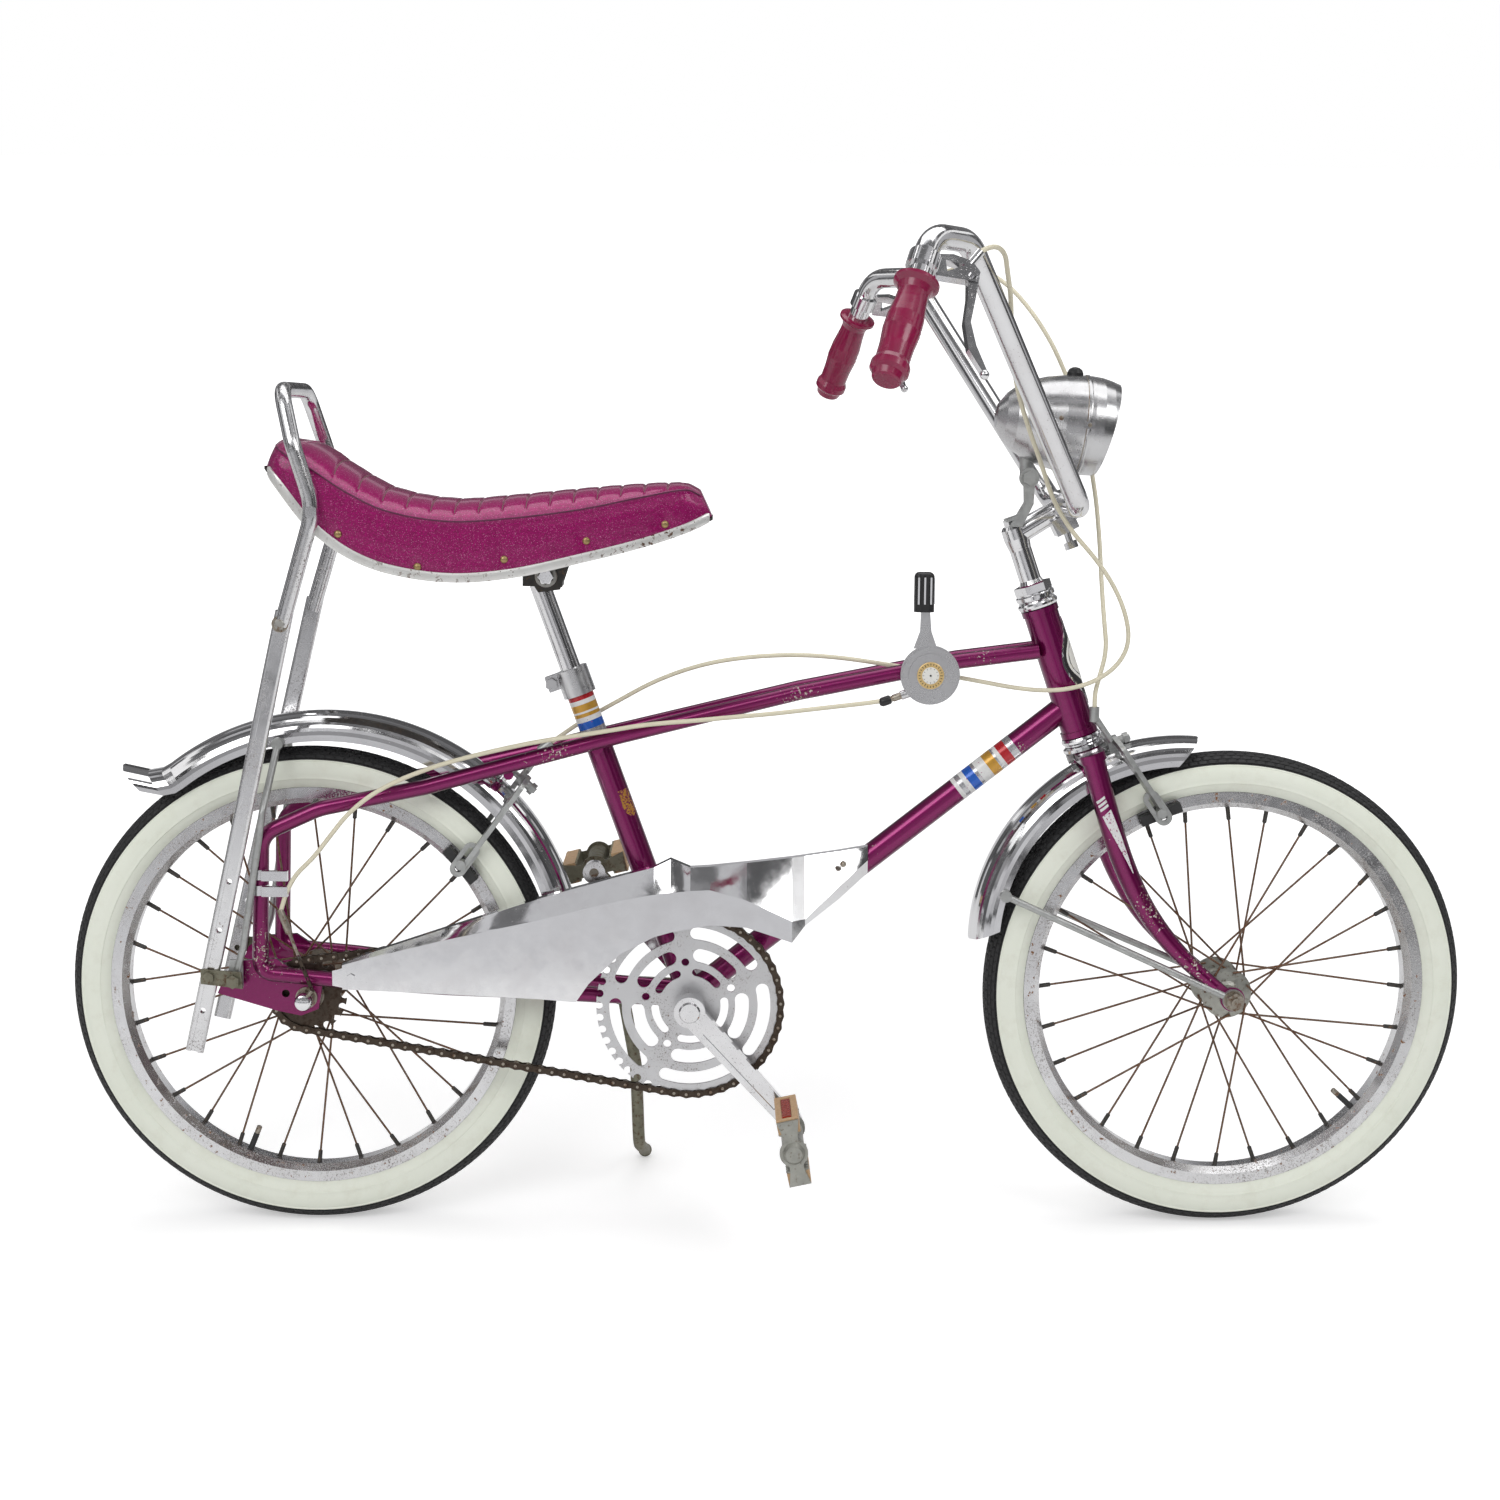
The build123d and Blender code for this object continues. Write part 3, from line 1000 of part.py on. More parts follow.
# Cables: straight runs joined by arcs as large as the runs allow
def cord(points, r, name):
    pts = [Vector(*p) for p in points]
    radii = []
    for a, b, c in zip(pts[:-2], pts[1:-1], pts[2:]):
        u, v = (b - a), (c - b)
        half = acos(max(-1.0, min(1.0, u.normalized().dot(v.normalized())))) / 2
        radii.append(0.45 * min(u.length, v.length) / max(tan(half), 1e-3))
    print("CORD", name, "runs", [round((q - p).length, 1) for p, q in zip(pts[:-1], pts[1:])],
          "radii", [round(q, 1) for q in radii])
    return bent(pts, radii, r)


def turn(p, a, o, d):
    p, o, d = Vector(*p) - Vector(*o), Vector(*o), Vector(*d).normalized()
    return o + p * cos(a) + d.cross(p) * sin(a) + d * (d.dot(p) * (1 - cos(a)))


CABLE_R = 2.3
FCAB = [
    (650, 279, 991), (662, 250, 997), (676, 208, 1000), (690, 164, 998), (705, 122, 989), (723, 90, 971),
    (742, 71, 945), (760, 63, 916), (777, 61, 880), (791, 60, 841), (801, 56, 799), (807, 44, 757),
    (809, 28, 714), (809, 11, 672), (810, -3, 636), (812, -13, 604),
]
fcab = [tuple(LEVER_EXIT)] + [tuple(hp(*p)) for p in FCAB] + [tuple(f_barrel + F_PULL * 24),
                                                               tuple(f_barrel + F_PULL * 9)]
add("front_brake_cable", cord(fcab, CABLE_R, "front"), SB)
RCAB = [
    (650, -280, 988), (664, -259, 983), (669.5, -236, 968), (678.5, -202.5, 946), (683.5, -172.5, 906),
    (693.5, -149, 863.4), (711, -124.5, 823), (727, -100, 792), (741, -77, 761), (764, -50, 729),
    (792, -43, 700), (813, -41, 671), (826, -40, 641), (830, -38, 614), (820, -36, 592), (800, -33, 576),
    (776, -29, 567), (748, -25.5, 564), (716, -20, 566.5), (685, -10, 571.5), (655, -3, 576),
]
RCAB2 = [
    (622, 0, 582), (585, 0, 588), (543, 0, 594), (499.6, 0, 597), (448.4, 2, 594.5), (400, 7, 586),
    (352, 16, 568), (312, 21, 545), (280, 21.5, 527),
]
RCAB_TURNED = 16        # its first points, from the lever to below the lamp, turn with the bars
rcab = [(LEVER_EXIT.X, -LEVER_EXIT.Y, LEVER_EXIT.Z)] + [tuple(hp(*p)) for p in RCAB]
for k in range(RCAB_TURNED + 1):
    rcab[k] = tuple(turn(rcab[k], radians(STEER), HEAD_O, AX))
CABLE_SEAT = 1.6        # the rear cable starts this far out, clear of its slanted outlet
rcab[0] = tuple(Vector(*rcab[0]) + (Vector(*rcab[1]) - Vector(*rcab[0])).normalized() * CABLE_SEAT)
for x, y, z in RCAB2:
    fx, fz = fp(x, z)
    rcab.append((fx, y, fz))
rcab += [tuple(r_barrel + R_PULL * 26), tuple(r_barrel + R_PULL * 9)]
GCAB = [
    (566, -35, 551.5), (519, -35.5, 546), (468.6, -34.5, 539.7), (432, -34.5, 536.5),
    (397.8, -34.8, 533), (366, -35.2, 530.5), (336.8, -36, 527.5), (296, -38, 520.5), (262, -40, 515.5),
    (230, -42.5, 510.5), (198, -46.5, 504), (166.4, -52, 497), (132, -60, 488), (98.1, -66, 475.5), (70, -71, 461),
    (46, -72.5, 441), (28, -73, 418), (12, -73, 397), (-6, -73, 380), (-16, -72.5, 362), (-22, -72.5, 342),
]
gcab = []
for x, y, z in GCAB:
    fx, fz = fp(x, z)
    gcab.append((fx, y, fz))
sh_end = Vector(SH[0] - 29, SH_Y - 7, SH[1] - 21.5)
sh_dir = Vector(-13, -1, -4.5).normalized()
gcab = [tuple(sh_end), tuple(sh_end + sh_dir * 14)] + gcab
add("rear_brake_cable", cord(rcab, CABLE_R, "rear"))
add("gear_cable", cord(gcab, CABLE_R, "gear"))
clips = []
for dz in (0, 16):
    c = fp(-44.5, 362 + dz)
    cl = rod((c[0], -61, c[1] - 5), (c[0] - 0.2, -61, c[1] + 5), TUBE_R + 1.4)
    cl += block(c[0] + 4, c[0] + 30, -75, -68.5, c[1] - 5, c[1] + 5)
    cl -= main
    cl -= nodes["gear_cable"]
    clips.append(biggest(cl))
add("cable_clips", group(clips))
nodes["main_frame"] = main
body_of["main_frame"] = "frame"


def steered(s):
    return s.rotate(Axis(tuple(HEAD_O), tuple(AX)), STEER)


def parked(s):
    return s.rotate(Axis((0, 0, TYRE_SEC), (1, 0, 0)), -LEAN)


placed = {}
for k, s in nodes.items():
    if body_of[k] in ("steering", "front_wheel"):
        s = steered(s)
    placed[k] = parked(s)

lo = [1e9] * 3
hi = [-1e9] * 3
for s in placed.values():
    b = s.bounding_box()
    for i, (p, q) in enumerate(((b.min.X, b.max.X), (b.min.Y, b.max.Y), (b.min.Z, b.max.Z))):
        lo[i] = min(lo[i], p)
        hi[i] = max(hi[i], q)
shift = Vector(-(lo[0] + hi[0]) / 2, -(lo[1] + hi[1]) / 2, -lo[2])
for k, s in placed.items():
    s = Pos(*shift) * s
    export_step(s, f"parts/{k}.step")
    v = sum(t.volume for t in s.solids())
    print("NODE", k, body_of[k], "solids", len(s.solids()), "cm3", round(v / 1000, 2), "valid", s.is_valid)
print("BOX", [round(v, 2) for v in lo], [round(v, 2) for v in hi])
print("SHIFT", round(shift.X, 4), round(shift.Y, 4), round(shift.Z, 4))


def rest_point(p, steer_it=False):
    if steer_it:
        p = turn(p, radians(STEER), HEAD_O, AX)
    return turn(p, -radians(LEAN), (0, 0, TYRE_SEC), (1, 0, 0)) + shift


def joint(name, p, q, steer_it=False):
    a, b = rest_point(p, steer_it), rest_point(q, steer_it)
    d = (b - a).normalized()
    print("JOINT", name, json.dumps([a.X, a.Y, a.Z]), json.dumps([d.X, d.Y, d.Z]))


e = BBP + crank_dir * CRANK
f = BBP - crank_dir * CRANK
joint("rear_wheel", (0, 0, AXLE_Z), (0, 1, AXLE_Z))
joint("front_wheel", (WHEELBASE, 0, AXLE_Z), (WHEELBASE, 1, AXLE_Z), True)
joint("steering", at_axis(0), at_axis(1))
joint("crankset", (BB_X, 0, BB_Z), (BB_X, 1, BB_Z))
joint("pedal_right", (e.X, -100, e.Z), (e.X, -99, e.Z))
joint("pedal_left", (f.X, 100, f.Z), (f.X, 101, f.Z))
joint("stand", (STAND_X, STAND_Y, STAND_Z), (STAND_X, STAND_Y + 1, STAND_Z))
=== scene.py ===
import json
from math import acos, atan2, cos, hypot, pi, radians, sin, sqrt
import bpy
import numpy as np
from mathutils import Matrix, Vector
from mathutils.bvhtree import BVHTree


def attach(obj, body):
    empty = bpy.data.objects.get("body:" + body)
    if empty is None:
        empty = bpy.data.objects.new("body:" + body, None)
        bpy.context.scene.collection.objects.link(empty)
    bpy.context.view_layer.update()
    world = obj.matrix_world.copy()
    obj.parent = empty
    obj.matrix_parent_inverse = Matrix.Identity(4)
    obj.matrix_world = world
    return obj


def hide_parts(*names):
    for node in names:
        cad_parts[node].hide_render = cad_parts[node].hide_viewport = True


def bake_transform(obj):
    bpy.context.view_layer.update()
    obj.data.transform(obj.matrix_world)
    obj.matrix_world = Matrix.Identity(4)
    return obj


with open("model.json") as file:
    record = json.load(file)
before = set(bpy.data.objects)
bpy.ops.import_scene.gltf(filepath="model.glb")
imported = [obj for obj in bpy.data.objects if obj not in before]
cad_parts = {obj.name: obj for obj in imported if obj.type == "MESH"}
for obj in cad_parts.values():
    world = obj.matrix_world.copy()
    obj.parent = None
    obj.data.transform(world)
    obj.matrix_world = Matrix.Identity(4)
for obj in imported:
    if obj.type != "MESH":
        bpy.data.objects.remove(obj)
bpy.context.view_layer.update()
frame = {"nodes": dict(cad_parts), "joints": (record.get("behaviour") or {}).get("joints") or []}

# Stance: points below are millimetres on the upright, straight bicycle (X forward,
# Y to its left, Z up, rear axle at X = 0), and these matrices park it as the CAD does
LEAN = 8.0
STEER = 1.2
AXLE_Z = 250.0
WHEELBASE = 944.0
rear_at = Vector(next(j["pos_m"] for j in frame["joints"] if j["name"] == "rear_wheel_spin"))
LEAN_R = Matrix.Rotation(-radians(LEAN), 4, "X")
MM = Matrix.Scale(0.001, 4)
TO_FRAME = Matrix.Translation(rear_at - LEAN_R @ Vector((0, 0, 0.25))) @ LEAN_R @ MM
HEAD_ANGLE = radians(19.2)
AX = Vector((-sin(HEAD_ANGLE), 0, cos(HEAD_ANGLE)))
FW = Vector((cos(HEAD_ANGLE), 0, sin(HEAD_ANGLE)))
HEAD_O = Vector((WHEELBASE, 0, AXLE_Z)) + AX * (1.5644 * 250) - FW * 58.75
TURN = Matrix.Translation(HEAD_O) @ Matrix.Rotation(radians(STEER), 4, AX) @ Matrix.Translation(-HEAD_O)
TO_STEER = TO_FRAME @ TURN
BB = Vector((389.0, 0, 240.0))
SEAT_TOP = Vector((237.7, 0, 657.0))


def at_axis(s, f=0.0, y=0.0):
    return HEAD_O + AX * s + FW * f + Vector((0, y, 0))


def new_tree(data):
    """The emptied node tree of a material or of the world."""
    data.use_nodes = True
    data.node_tree.nodes.clear()
    return data.node_tree


def joined(tree, kind, *inputs, out=0, **props):
    """The output of a new shader node whose inputs, in their order, are sockets or values."""
    n = tree.nodes.new(kind)
    for key, value in props.items():
        setattr(n, key, value)
    for socket, value in zip(n.inputs, inputs):
        if isinstance(value, bpy.types.NodeSocket):
            tree.links.new(value, socket)
        else:
            socket.default_value = value
    return n.outputs[out] if n.outputs else None


def placed(name, data):
    """A new object with this data, put into the scene."""
    ob = bpy.data.objects.new(name, data)
    bpy.context.scene.collection.objects.link(ob)
    return ob


# Materials
class Paint:
    """A principled material with a few short ways to add noise, ramps and bumps."""

    def __init__(self, name, **inputs):
        self.mat = bpy.data.materials.new(name)
        self.tree = new_tree(self.mat)
        self.bsdf = self.node("ShaderNodeBsdfPrincipled")
        out = self.node("ShaderNodeOutputMaterial")
        self.link(self.bsdf.outputs[0], out.inputs[0])
        self.place = self.node("ShaderNodeTexCoord").outputs["Object"]
        self.set(**inputs)

    def node(self, kind, **props):
        n = self.tree.nodes.new(kind)
        for k, v in props.items():
            setattr(n, k, v)
        return n

    def link(self, a, b):
        self.tree.links.new(a, b)

    def plug(self, socket, value):
        if isinstance(value, bpy.types.NodeSocket):
            self.link(value, socket)
        elif isinstance(value, (tuple, list)) and len(value) == 3 and len(socket.default_value) == 4:
            socket.default_value = (*value, 1.0)
        else:
            socket.default_value = value

    def set(self, **inputs):
        for k, v in inputs.items():
            self.plug(self.bsdf.inputs[k.replace("_", " ")], v)
        return self

    def noise(self, scale, detail=2.0, rough=0.5):
        n = self.node("ShaderNodeTexNoise")
        self.link(self.place, n.inputs["Vector"])
        n.inputs["Scale"].default_value = scale
        n.inputs["Detail"].default_value = detail
        n.inputs["Roughness"].default_value = rough
        return n.outputs["Fac"]

    def cells(self, scale):
        n = self.node("ShaderNodeTexVoronoi")
        self.link(self.place, n.inputs["Vector"])
        n.inputs["Scale"].default_value = scale
        return n.outputs["Color"]

    def ramp(self, fac, *stops):
        n = self.node("ShaderNodeValToRGB")
        while len(n.color_ramp.elements) < len(stops):
            n.color_ramp.elements.new(0.5)
        for e, (at, colour) in zip(n.color_ramp.elements, stops):
            e.position = at
            e.color = (*colour, 1.0) if isinstance(colour, tuple) else (colour, colour, colour, 1.0)
        self.link(fac, n.inputs[0])
        return n.outputs[0]

    def mix(self, fac, a, b):
        n = self.node("ShaderNodeMix", data_type="RGBA")
        self.plug(n.inputs[0], fac)
        self.plug(n.inputs[6], a)
        self.plug(n.inputs[7], b)
        return n.outputs[2]

    def math(self, op, a, b=0.0, clamp=False):
        n = self.node("ShaderNodeMath", operation=op, use_clamp=clamp)
        self.plug(n.inputs[0], a)
        self.plug(n.inputs[1], b)
        return n.outputs[0]

    def times(self, a, b):
        return self.math("MULTIPLY", a, b)

    def plus(self, a, b):
        return self.math("ADD", a, b)

    def near(self, point, reach):
        """1 at a point in metres, falling to 0 at its reach."""
        n = self.node("ShaderNodeVectorMath", operation="DISTANCE")
        self.link(self.place, n.inputs[0])
        n.inputs[1].default_value = point
        share = self.math("DIVIDE", n.outputs["Value"], reach)
        return self.math("SUBTRACT", 1.0, share, clamp=True)

    def bump(self, height, distance, strength=1.0):
        n = self.node("ShaderNodeBump")
        self.link(height, n.inputs["Height"])
        n.inputs["Distance"].default_value = distance
        n.inputs["Strength"].default_value = strength
        self.link(n.outputs[0], self.bsdf.inputs["Normal"])
        return self


def world_point(x, y, z, steer=False):
    return tuple((TO_STEER if steer else TO_FRAME) @ Vector((x, y, z)))


def chrome(name, tone=0.86, rough=0.07, pits=0.62, rust=0.70, brown=(0.16, 0.07, 0.03)):
    """Old bright plating: small dark pits, dull patches and specks of rust."""
    p = Paint(name, Metallic=1.0)
    speck = p.ramp(p.noise(620, 3, 0.6), (pits, 0.0), (pits + 0.05, 1.0))
    patch = p.ramp(p.noise(23, 4, 0.6), (0.42, 0.0), (0.68, 1.0))
    speck = p.times(speck, patch)
    spot = p.ramp(p.noise(150, 5, 0.65), (rust, 0.0), (rust + 0.04, 1.0))
    base = p.mix(patch, (tone, tone, tone * 1.01), (tone * 0.93, tone * 0.92, tone * 0.93))
    base = p.mix(speck, base, (0.30, 0.27, 0.25))
    base = p.mix(spot, base, brown)
    dull = p.ramp(p.noise(60, 4, 0.6), (0.35, rough), (0.75, rough + 0.10))
    level = p.plus(dull, p.times(p.math("MAXIMUM", speck, spot), 0.45))
    p.set(Base_Color=base, Roughness=level, Metallic=p.math("SUBTRACT", 1.0, p.times(spot, 0.8)))
    p.bump(p.plus(speck, spot), 0.0002, 0.35)
    return p.mat


def steel(name, tone, rough=0.38, stain=(0.20, 0.13, 0.08), amount=0.55):
    """Plain or galvanised steel, mottled, with brown stains."""
    p = Paint(name, Metallic=0.85)
    mottle = p.noise(85, 5, 0.65)
    base = p.mix(mottle, tuple(c * 0.62 for c in tone), tuple(min(1, c * 1.25) for c in tone))
    spot = p.ramp(p.noise(190, 5, 0.7), (amount, 0.0), (amount + 0.14, 0.9))
    base = p.mix(spot, base, stain)
    level = p.ramp(p.noise(140, 4, 0.6), (0.3, rough - 0.1), (0.7, rough + 0.16))
    p.set(Base_Color=base, Roughness=level)
    p.bump(p.noise(420, 4, 0.6), 0.0004, 0.35)
    return p.mat


def magenta_paint():
    """Metallic candy paint, darker at grazing angles, chipped to pale undercoat and rust."""
    p = Paint("candy_magenta", Coat_Weight=0.8, Coat_Roughness=0.05, Coat_IOR=1.45)
    flake = p.cells(1500)
    tint = p.mix(flake, (0.225, 0.002, 0.098), (0.33, 0.006, 0.155))
    fade = p.noise(9, 3)
    base = p.mix(p.times(fade, 0.6), tint, (0.15, 0.002, 0.065))
    facing = p.node("ShaderNodeLayerWeight")
    facing.inputs["Blend"].default_value = 0.42
    base = p.mix(facing.outputs["Facing"], base, (0.045, 0.001, 0.026))
    chip = p.ramp(p.noise(240, 5, 0.62), (0.705, 0.0), (0.715, 1.0))
    chip = p.times(chip, p.ramp(p.noise(16, 2), (0.50, 0.0), (0.56, 1.0)))
    worn = p.noise(330, 4, 0.6)
    spots = [(world_point(560, -12, 402), 0.040), (world_point(688, -14, 598), 0.030),
             (world_point(500, -24, 553), 0.035), (world_point(860, -54, 345, True), 0.05),
             (world_point(905, -56, 288, True), 0.045), (world_point(-40, -66, 300), 0.06),
             (world_point(726, -12, 502), 0.022), (world_point(250, -34, 492), 0.05)]
    for at, reach in spots:
        close = p.times(p.near(at, reach), 0.20)
        local = p.ramp(p.plus(worn, close), (0.735, 0.0), (0.745, 1.0))
        chip = p.math("MAXIMUM", chip, p.times(local, p.ramp(close, (0.0, 0.0), (0.03, 1.0))))
    under = p.mix(p.ramp(p.noise(500, 3), (0.42, 0.0), (0.58, 1.0)), (0.62, 0.55, 0.52), (0.16, 0.06, 0.03))
    metal = p.math("SUBTRACT", 0.78, p.times(chip, 0.75))
    level = p.plus(0.30, p.times(chip, 0.4))
    p.set(Base_Color=p.mix(chip, base, under), Metallic=metal, Roughness=level)
    p.bump(p.math("SUBTRACT", p.times(flake, 0.15), chip), 0.00015, 0.5)
    return p.mat


def glitter_vinyl(name, dark, light, rough, spark=0.5):
    """Clear vinyl over glitter: tiny bright flakes under a glossy skin."""
    p = Paint(name, Coat_Weight=0.7, Coat_Roughness=0.09, Coat_IOR=1.4, Specular_IOR_Level=0.2)
    flake = p.cells(2100)
    sep = p.node("ShaderNodeSeparateColor")
    p.link(flake, sep.inputs[0])
    bright = p.ramp(sep.outputs[0], (0.45, 0.0), (0.98, 1.0))
    blotch = p.noise(34, 4, 0.6)
    base = p.mix(bright, dark, light)
    base = p.mix(p.times(blotch, 0.30), base, tuple(c * 0.45 for c in dark))
    rare = p.ramp(sep.outputs[1], (0.955, 0.0), (0.965, 1.0))
    base = p.mix(p.times(rare, spark), base, (0.85, 0.35, 0.60))
    p.set(Base_Color=base, Roughness=rough, Metallic=p.times(bright, 0.35))
    p.bump(p.plus(p.times(sep.outputs[2], 0.25), p.noise(150, 4, 0.6)), 0.0004, 0.22)
    return p.mat


def plain(name, colour, rough=0.45, vary=0.25, scale=160, depth=0.0003, **inputs):
    """A mottled plain surface, such as rubber or plastic."""
    p = Paint(name, **inputs)
    fac = p.noise(scale, 5, 0.6)
    dark, pale = tuple(c * (1 - vary) for c in colour), tuple(min(1, c * (1 + vary)) for c in colour)
    level = p.ramp(p.noise(scale * 1.7, 3), (0.3, rough * 0.8), (0.7, min(1, rough * 1.2)))
    p.set(Base_Color=p.mix(fac, dark, pale), Roughness=level)
    p.bump(p.noise(scale * 4, 4, 0.6), depth, 0.4)
    return p.mat


def worn_print(name, colour, metallic=0.0, rough=0.3, under=(0.30, 0.01, 0.13), loss=0.64):
    """A thin print that has rubbed through to the paint in places."""
    p = Paint(name, Coat_Weight=0.5, Coat_Roughness=0.08)
    gone = p.ramp(p.noise(420, 5, 0.65), (loss, 0.0), (loss + 0.02, 1.0))
    base = p.mix(p.noise(300, 3), tuple(c * 0.82 for c in colour), colour)
    p.set(Base_Color=p.mix(gone, base, under), Metallic=metallic, Roughness=rough)
    return p.mat


def worn_trim():
    """White and chrome edging with dark chips along it."""
    p = Paint("seat_trim", Roughness=0.28)
    chip = p.ramp(p.noise(210, 5, 0.7), (0.575, 0.0), (0.60, 1.0))
    more = p.ramp(p.noise(19, 2), (0.38, 0.0), (0.60, 1.0))
    chip = p.times(chip, more)
    base = p.mix(p.noise(60, 4), (0.62, 0.61, 0.58), (0.84, 0.84, 0.83))
    brown = p.mix(p.noise(380, 3), (0.035, 0.02, 0.015), (0.16, 0.08, 0.04))
    metal = p.times(p.math("SUBTRACT", 1.0, chip), 0.45)
    p.set(Base_Color=p.mix(chip, base, brown), Metallic=metal)
    p.bump(p.math("SUBTRACT", 1.0, chip), 0.0003, 0.5)
    return p.mat


def white_wall():
    """Aged white rubber, a little green and grey, with patches of dirt."""
    p = Paint("white_wall", Roughness=0.55)
    dirt = p.ramp(p.noise(48, 6, 0.7), (0.50, 0.0), (0.78, 0.65))
    base = p.mix(p.noise(14, 3), (0.80, 0.84, 0.72), (0.87, 0.89, 0.80))
    p.set(Base_Color=p.mix(p.times(dirt, 0.45), base, (0.60, 0.58, 0.46)))
    p.bump(p.noise(260, 4, 0.6), 0.0003, 0.3)
    return p.mat


def glass():
    p = Paint("lamp_glass", Base_Color=(0.96, 0.98, 0.97), Roughness=0.05, Transmission_Weight=0.92, IOR=1.48)
    wave = p.node("ShaderNodeTexWave", wave_type="BANDS", bands_direction="Y")
    p.link(p.place, wave.inputs["Vector"])
    wave.inputs["Scale"].default_value = 62.0
    p.bump(wave.outputs["Fac"], 0.0008, 0.6)
    return p.mat


M = {
    "chrome": chrome("bright_chrome"),
    "guard_chrome": chrome("guard_chrome", 0.84, 0.055, 0.70, 0.745),
    "bar_chrome": chrome("bar_chrome", 0.80, 0.07, 0.64, 0.74),
    "rim_chrome": chrome("rim_chrome", 0.76, 0.17, 0.56, 0.63, (0.22, 0.10, 0.04)),
    "sissy_chrome": chrome("sissy_chrome", 0.76, 0.13, 0.57, 0.69),
    "lamp_chrome": chrome("lamp_chrome", 0.62, 0.22, 0.66, 0.72),
    "satin": chrome("satin_chrome", 0.70, 0.24, 0.66, 0.76),
    "ring_steel": chrome("ring_steel", 0.70, 0.30, 0.58, 0.68),
    "cage": steel("pedal_cage", (0.42, 0.42, 0.38), 0.42, (0.14, 0.10, 0.06), 0.56),
    "paint": magenta_paint(),
    "steel": steel("zinc_steel", (0.48, 0.47, 0.44)),
    "dark_steel": steel("dark_steel", (0.09, 0.085, 0.08), 0.5),
    "galvanised": steel("galvanised", (0.50, 0.51, 0.50), 0.42, (0.26, 0.22, 0.17), 0.60),
    "khaki": steel("khaki_steel", (0.25, 0.24, 0.18), 0.5, (0.12, 0.07, 0.04), 0.52),
    "nut": steel("stained_nut", (0.42, 0.38, 0.32), 0.35, (0.16, 0.08, 0.04), 0.50),
    "spoke": steel("rusted_spoke", (0.22, 0.15, 0.11), 0.45, (0.16, 0.07, 0.035), 0.45),
    "brass": steel("brass", (0.45, 0.32, 0.15), 0.30, (0.30, 0.20, 0.10), 0.62),
    "chain": steel("oily_chain", (0.085, 0.065, 0.05), 0.42, (0.05, 0.03, 0.02), 0.5),
    "vinyl_side": glitter_vinyl("vinyl_side", (0.205, 0.001, 0.075), (0.52, 0.006, 0.21), 0.36),
    "vinyl_top": glitter_vinyl("vinyl_top", (0.27, 0.001, 0.09), (0.56, 0.008, 0.22), 0.26),
    "seam": plain("seam_thread", (0.10, 0.01, 0.05), 0.6),
    "pleat": plain("pleat_thread", (0.17, 0.075, 0.085), 0.6),
    "trim": worn_trim(),
    "grip": plain("grip_plastic", (0.25, 0.003, 0.052), 0.25, 0.30, 45, 0.0002, Coat_Weight=0.5,
                  Coat_Roughness=0.12, Subsurface_Weight=0.08, Subsurface_Radius=(0.004, 0.001, 0.001)),
    "tread": plain("tread_rubber", (0.022, 0.022, 0.023), 0.62, 0.35, 120, 0.0004),
    "rubber": plain("black_rubber", (0.025, 0.025, 0.026), 0.55),
    "black": plain("black_plastic", (0.018, 0.018, 0.019), 0.33),
    "wall": white_wall(),
    "cable": plain("cream_cable", (0.73, 0.68, 0.52), 0.40, 0.12, 60, 0.0001),
    "amber": plain("amber_block", (0.55, 0.36, 0.20), 0.5, 0.35, 260, 0.0006),
    "cream": plain("cream_reflector", (0.62, 0.47, 0.27), 0.35, 0.3),
    "red": plain("red_reflector", (0.36, 0.035, 0.02), 0.25, 0.25, Coat_Weight=0.8),
    "glass": glass(),
    "white_print": worn_print("white_print", (0.80, 0.80, 0.79)),
    "silver_print": worn_print("silver_print", (0.62, 0.62, 0.64), 0.8, 0.25),
    "blue_print": worn_print("blue_print", (0.01, 0.12, 0.58), 0.2, 0.25),
    "red_print": worn_print("red_print", (0.52, 0.01, 0.018), 0.2, 0.25),
    "gold_print": worn_print("gold_print", (0.68, 0.36, 0.045), 0.45, 0.3),
    "spear_print": worn_print("spear_print", (0.82, 0.80, 0.81), loss=0.575),
    "old_gold": worn_print("old_gold", (0.52, 0.24, 0.035), 0.3, 0.4, (0.16, 0.006, 0.06), 0.52),
    "dial_white": plain("dial_white", (0.78, 0.77, 0.73), 0.35, 0.06),
    "dial_gold": plain("dial_gold", (0.70, 0.50, 0.22), 0.35, 0.12, 200, 0.0001, Metallic=0.4),
    "black_print": plain("black_print", (0.02, 0.018, 0.02), 0.35),
}

LOOK_NODES = {
    "paint": "main_frame fork",
    "chrome": "head_cups headset_nuts cable_clips",
    "bar_chrome": "seat_post cranks stem handlebar brake_levers",
    "sissy_chrome": "sissy_bar",
    "lamp_chrome": "headlamp_shell",
    "guard_chrome": "rear_mudguard front_mudguard chain_guard",
    "rim_chrome": "rear_rim front_rim",
    "satin": "seat_post_clamp shifter_body shifter_lever",
    "ring_steel": "chainring",
    "dark_steel": "seat_clamp seat_pan",
    "khaki": "sissy_bar_brackets stand_bracket stand_leg pedal_body_left",
    "galvanised": "rear_mudguard_stays front_mudguard_stays rear_brake_arms front_brake_arms "
                  "headlamp_bracket",
    "nut": "rear_axle front_axle bottom_bracket_cups rear_hub crank_axle pedal_spindle_right "
           "pedal_spindle_left",
    "cage": "front_hub pedal_body_right",
    "spoke": "rear_spokes front_spokes",
    "chain": "rear_sprocket",
    "rubber": "rear_brake_pads front_brake_pads",
    "black": "shifter_knob headlamp_switch",
    "cable": "gear_cable front_brake_cable",
    "amber": "pedal_blocks_right pedal_blocks_left",
    "grip": "grips",
    "glass": "headlamp_lens",
}
for look, nodes in LOOK_NODES.items():
    for node in nodes.split():
        mesh = frame["nodes"][node].data
        mesh.materials.clear()
        mesh.materials.append(M[look])


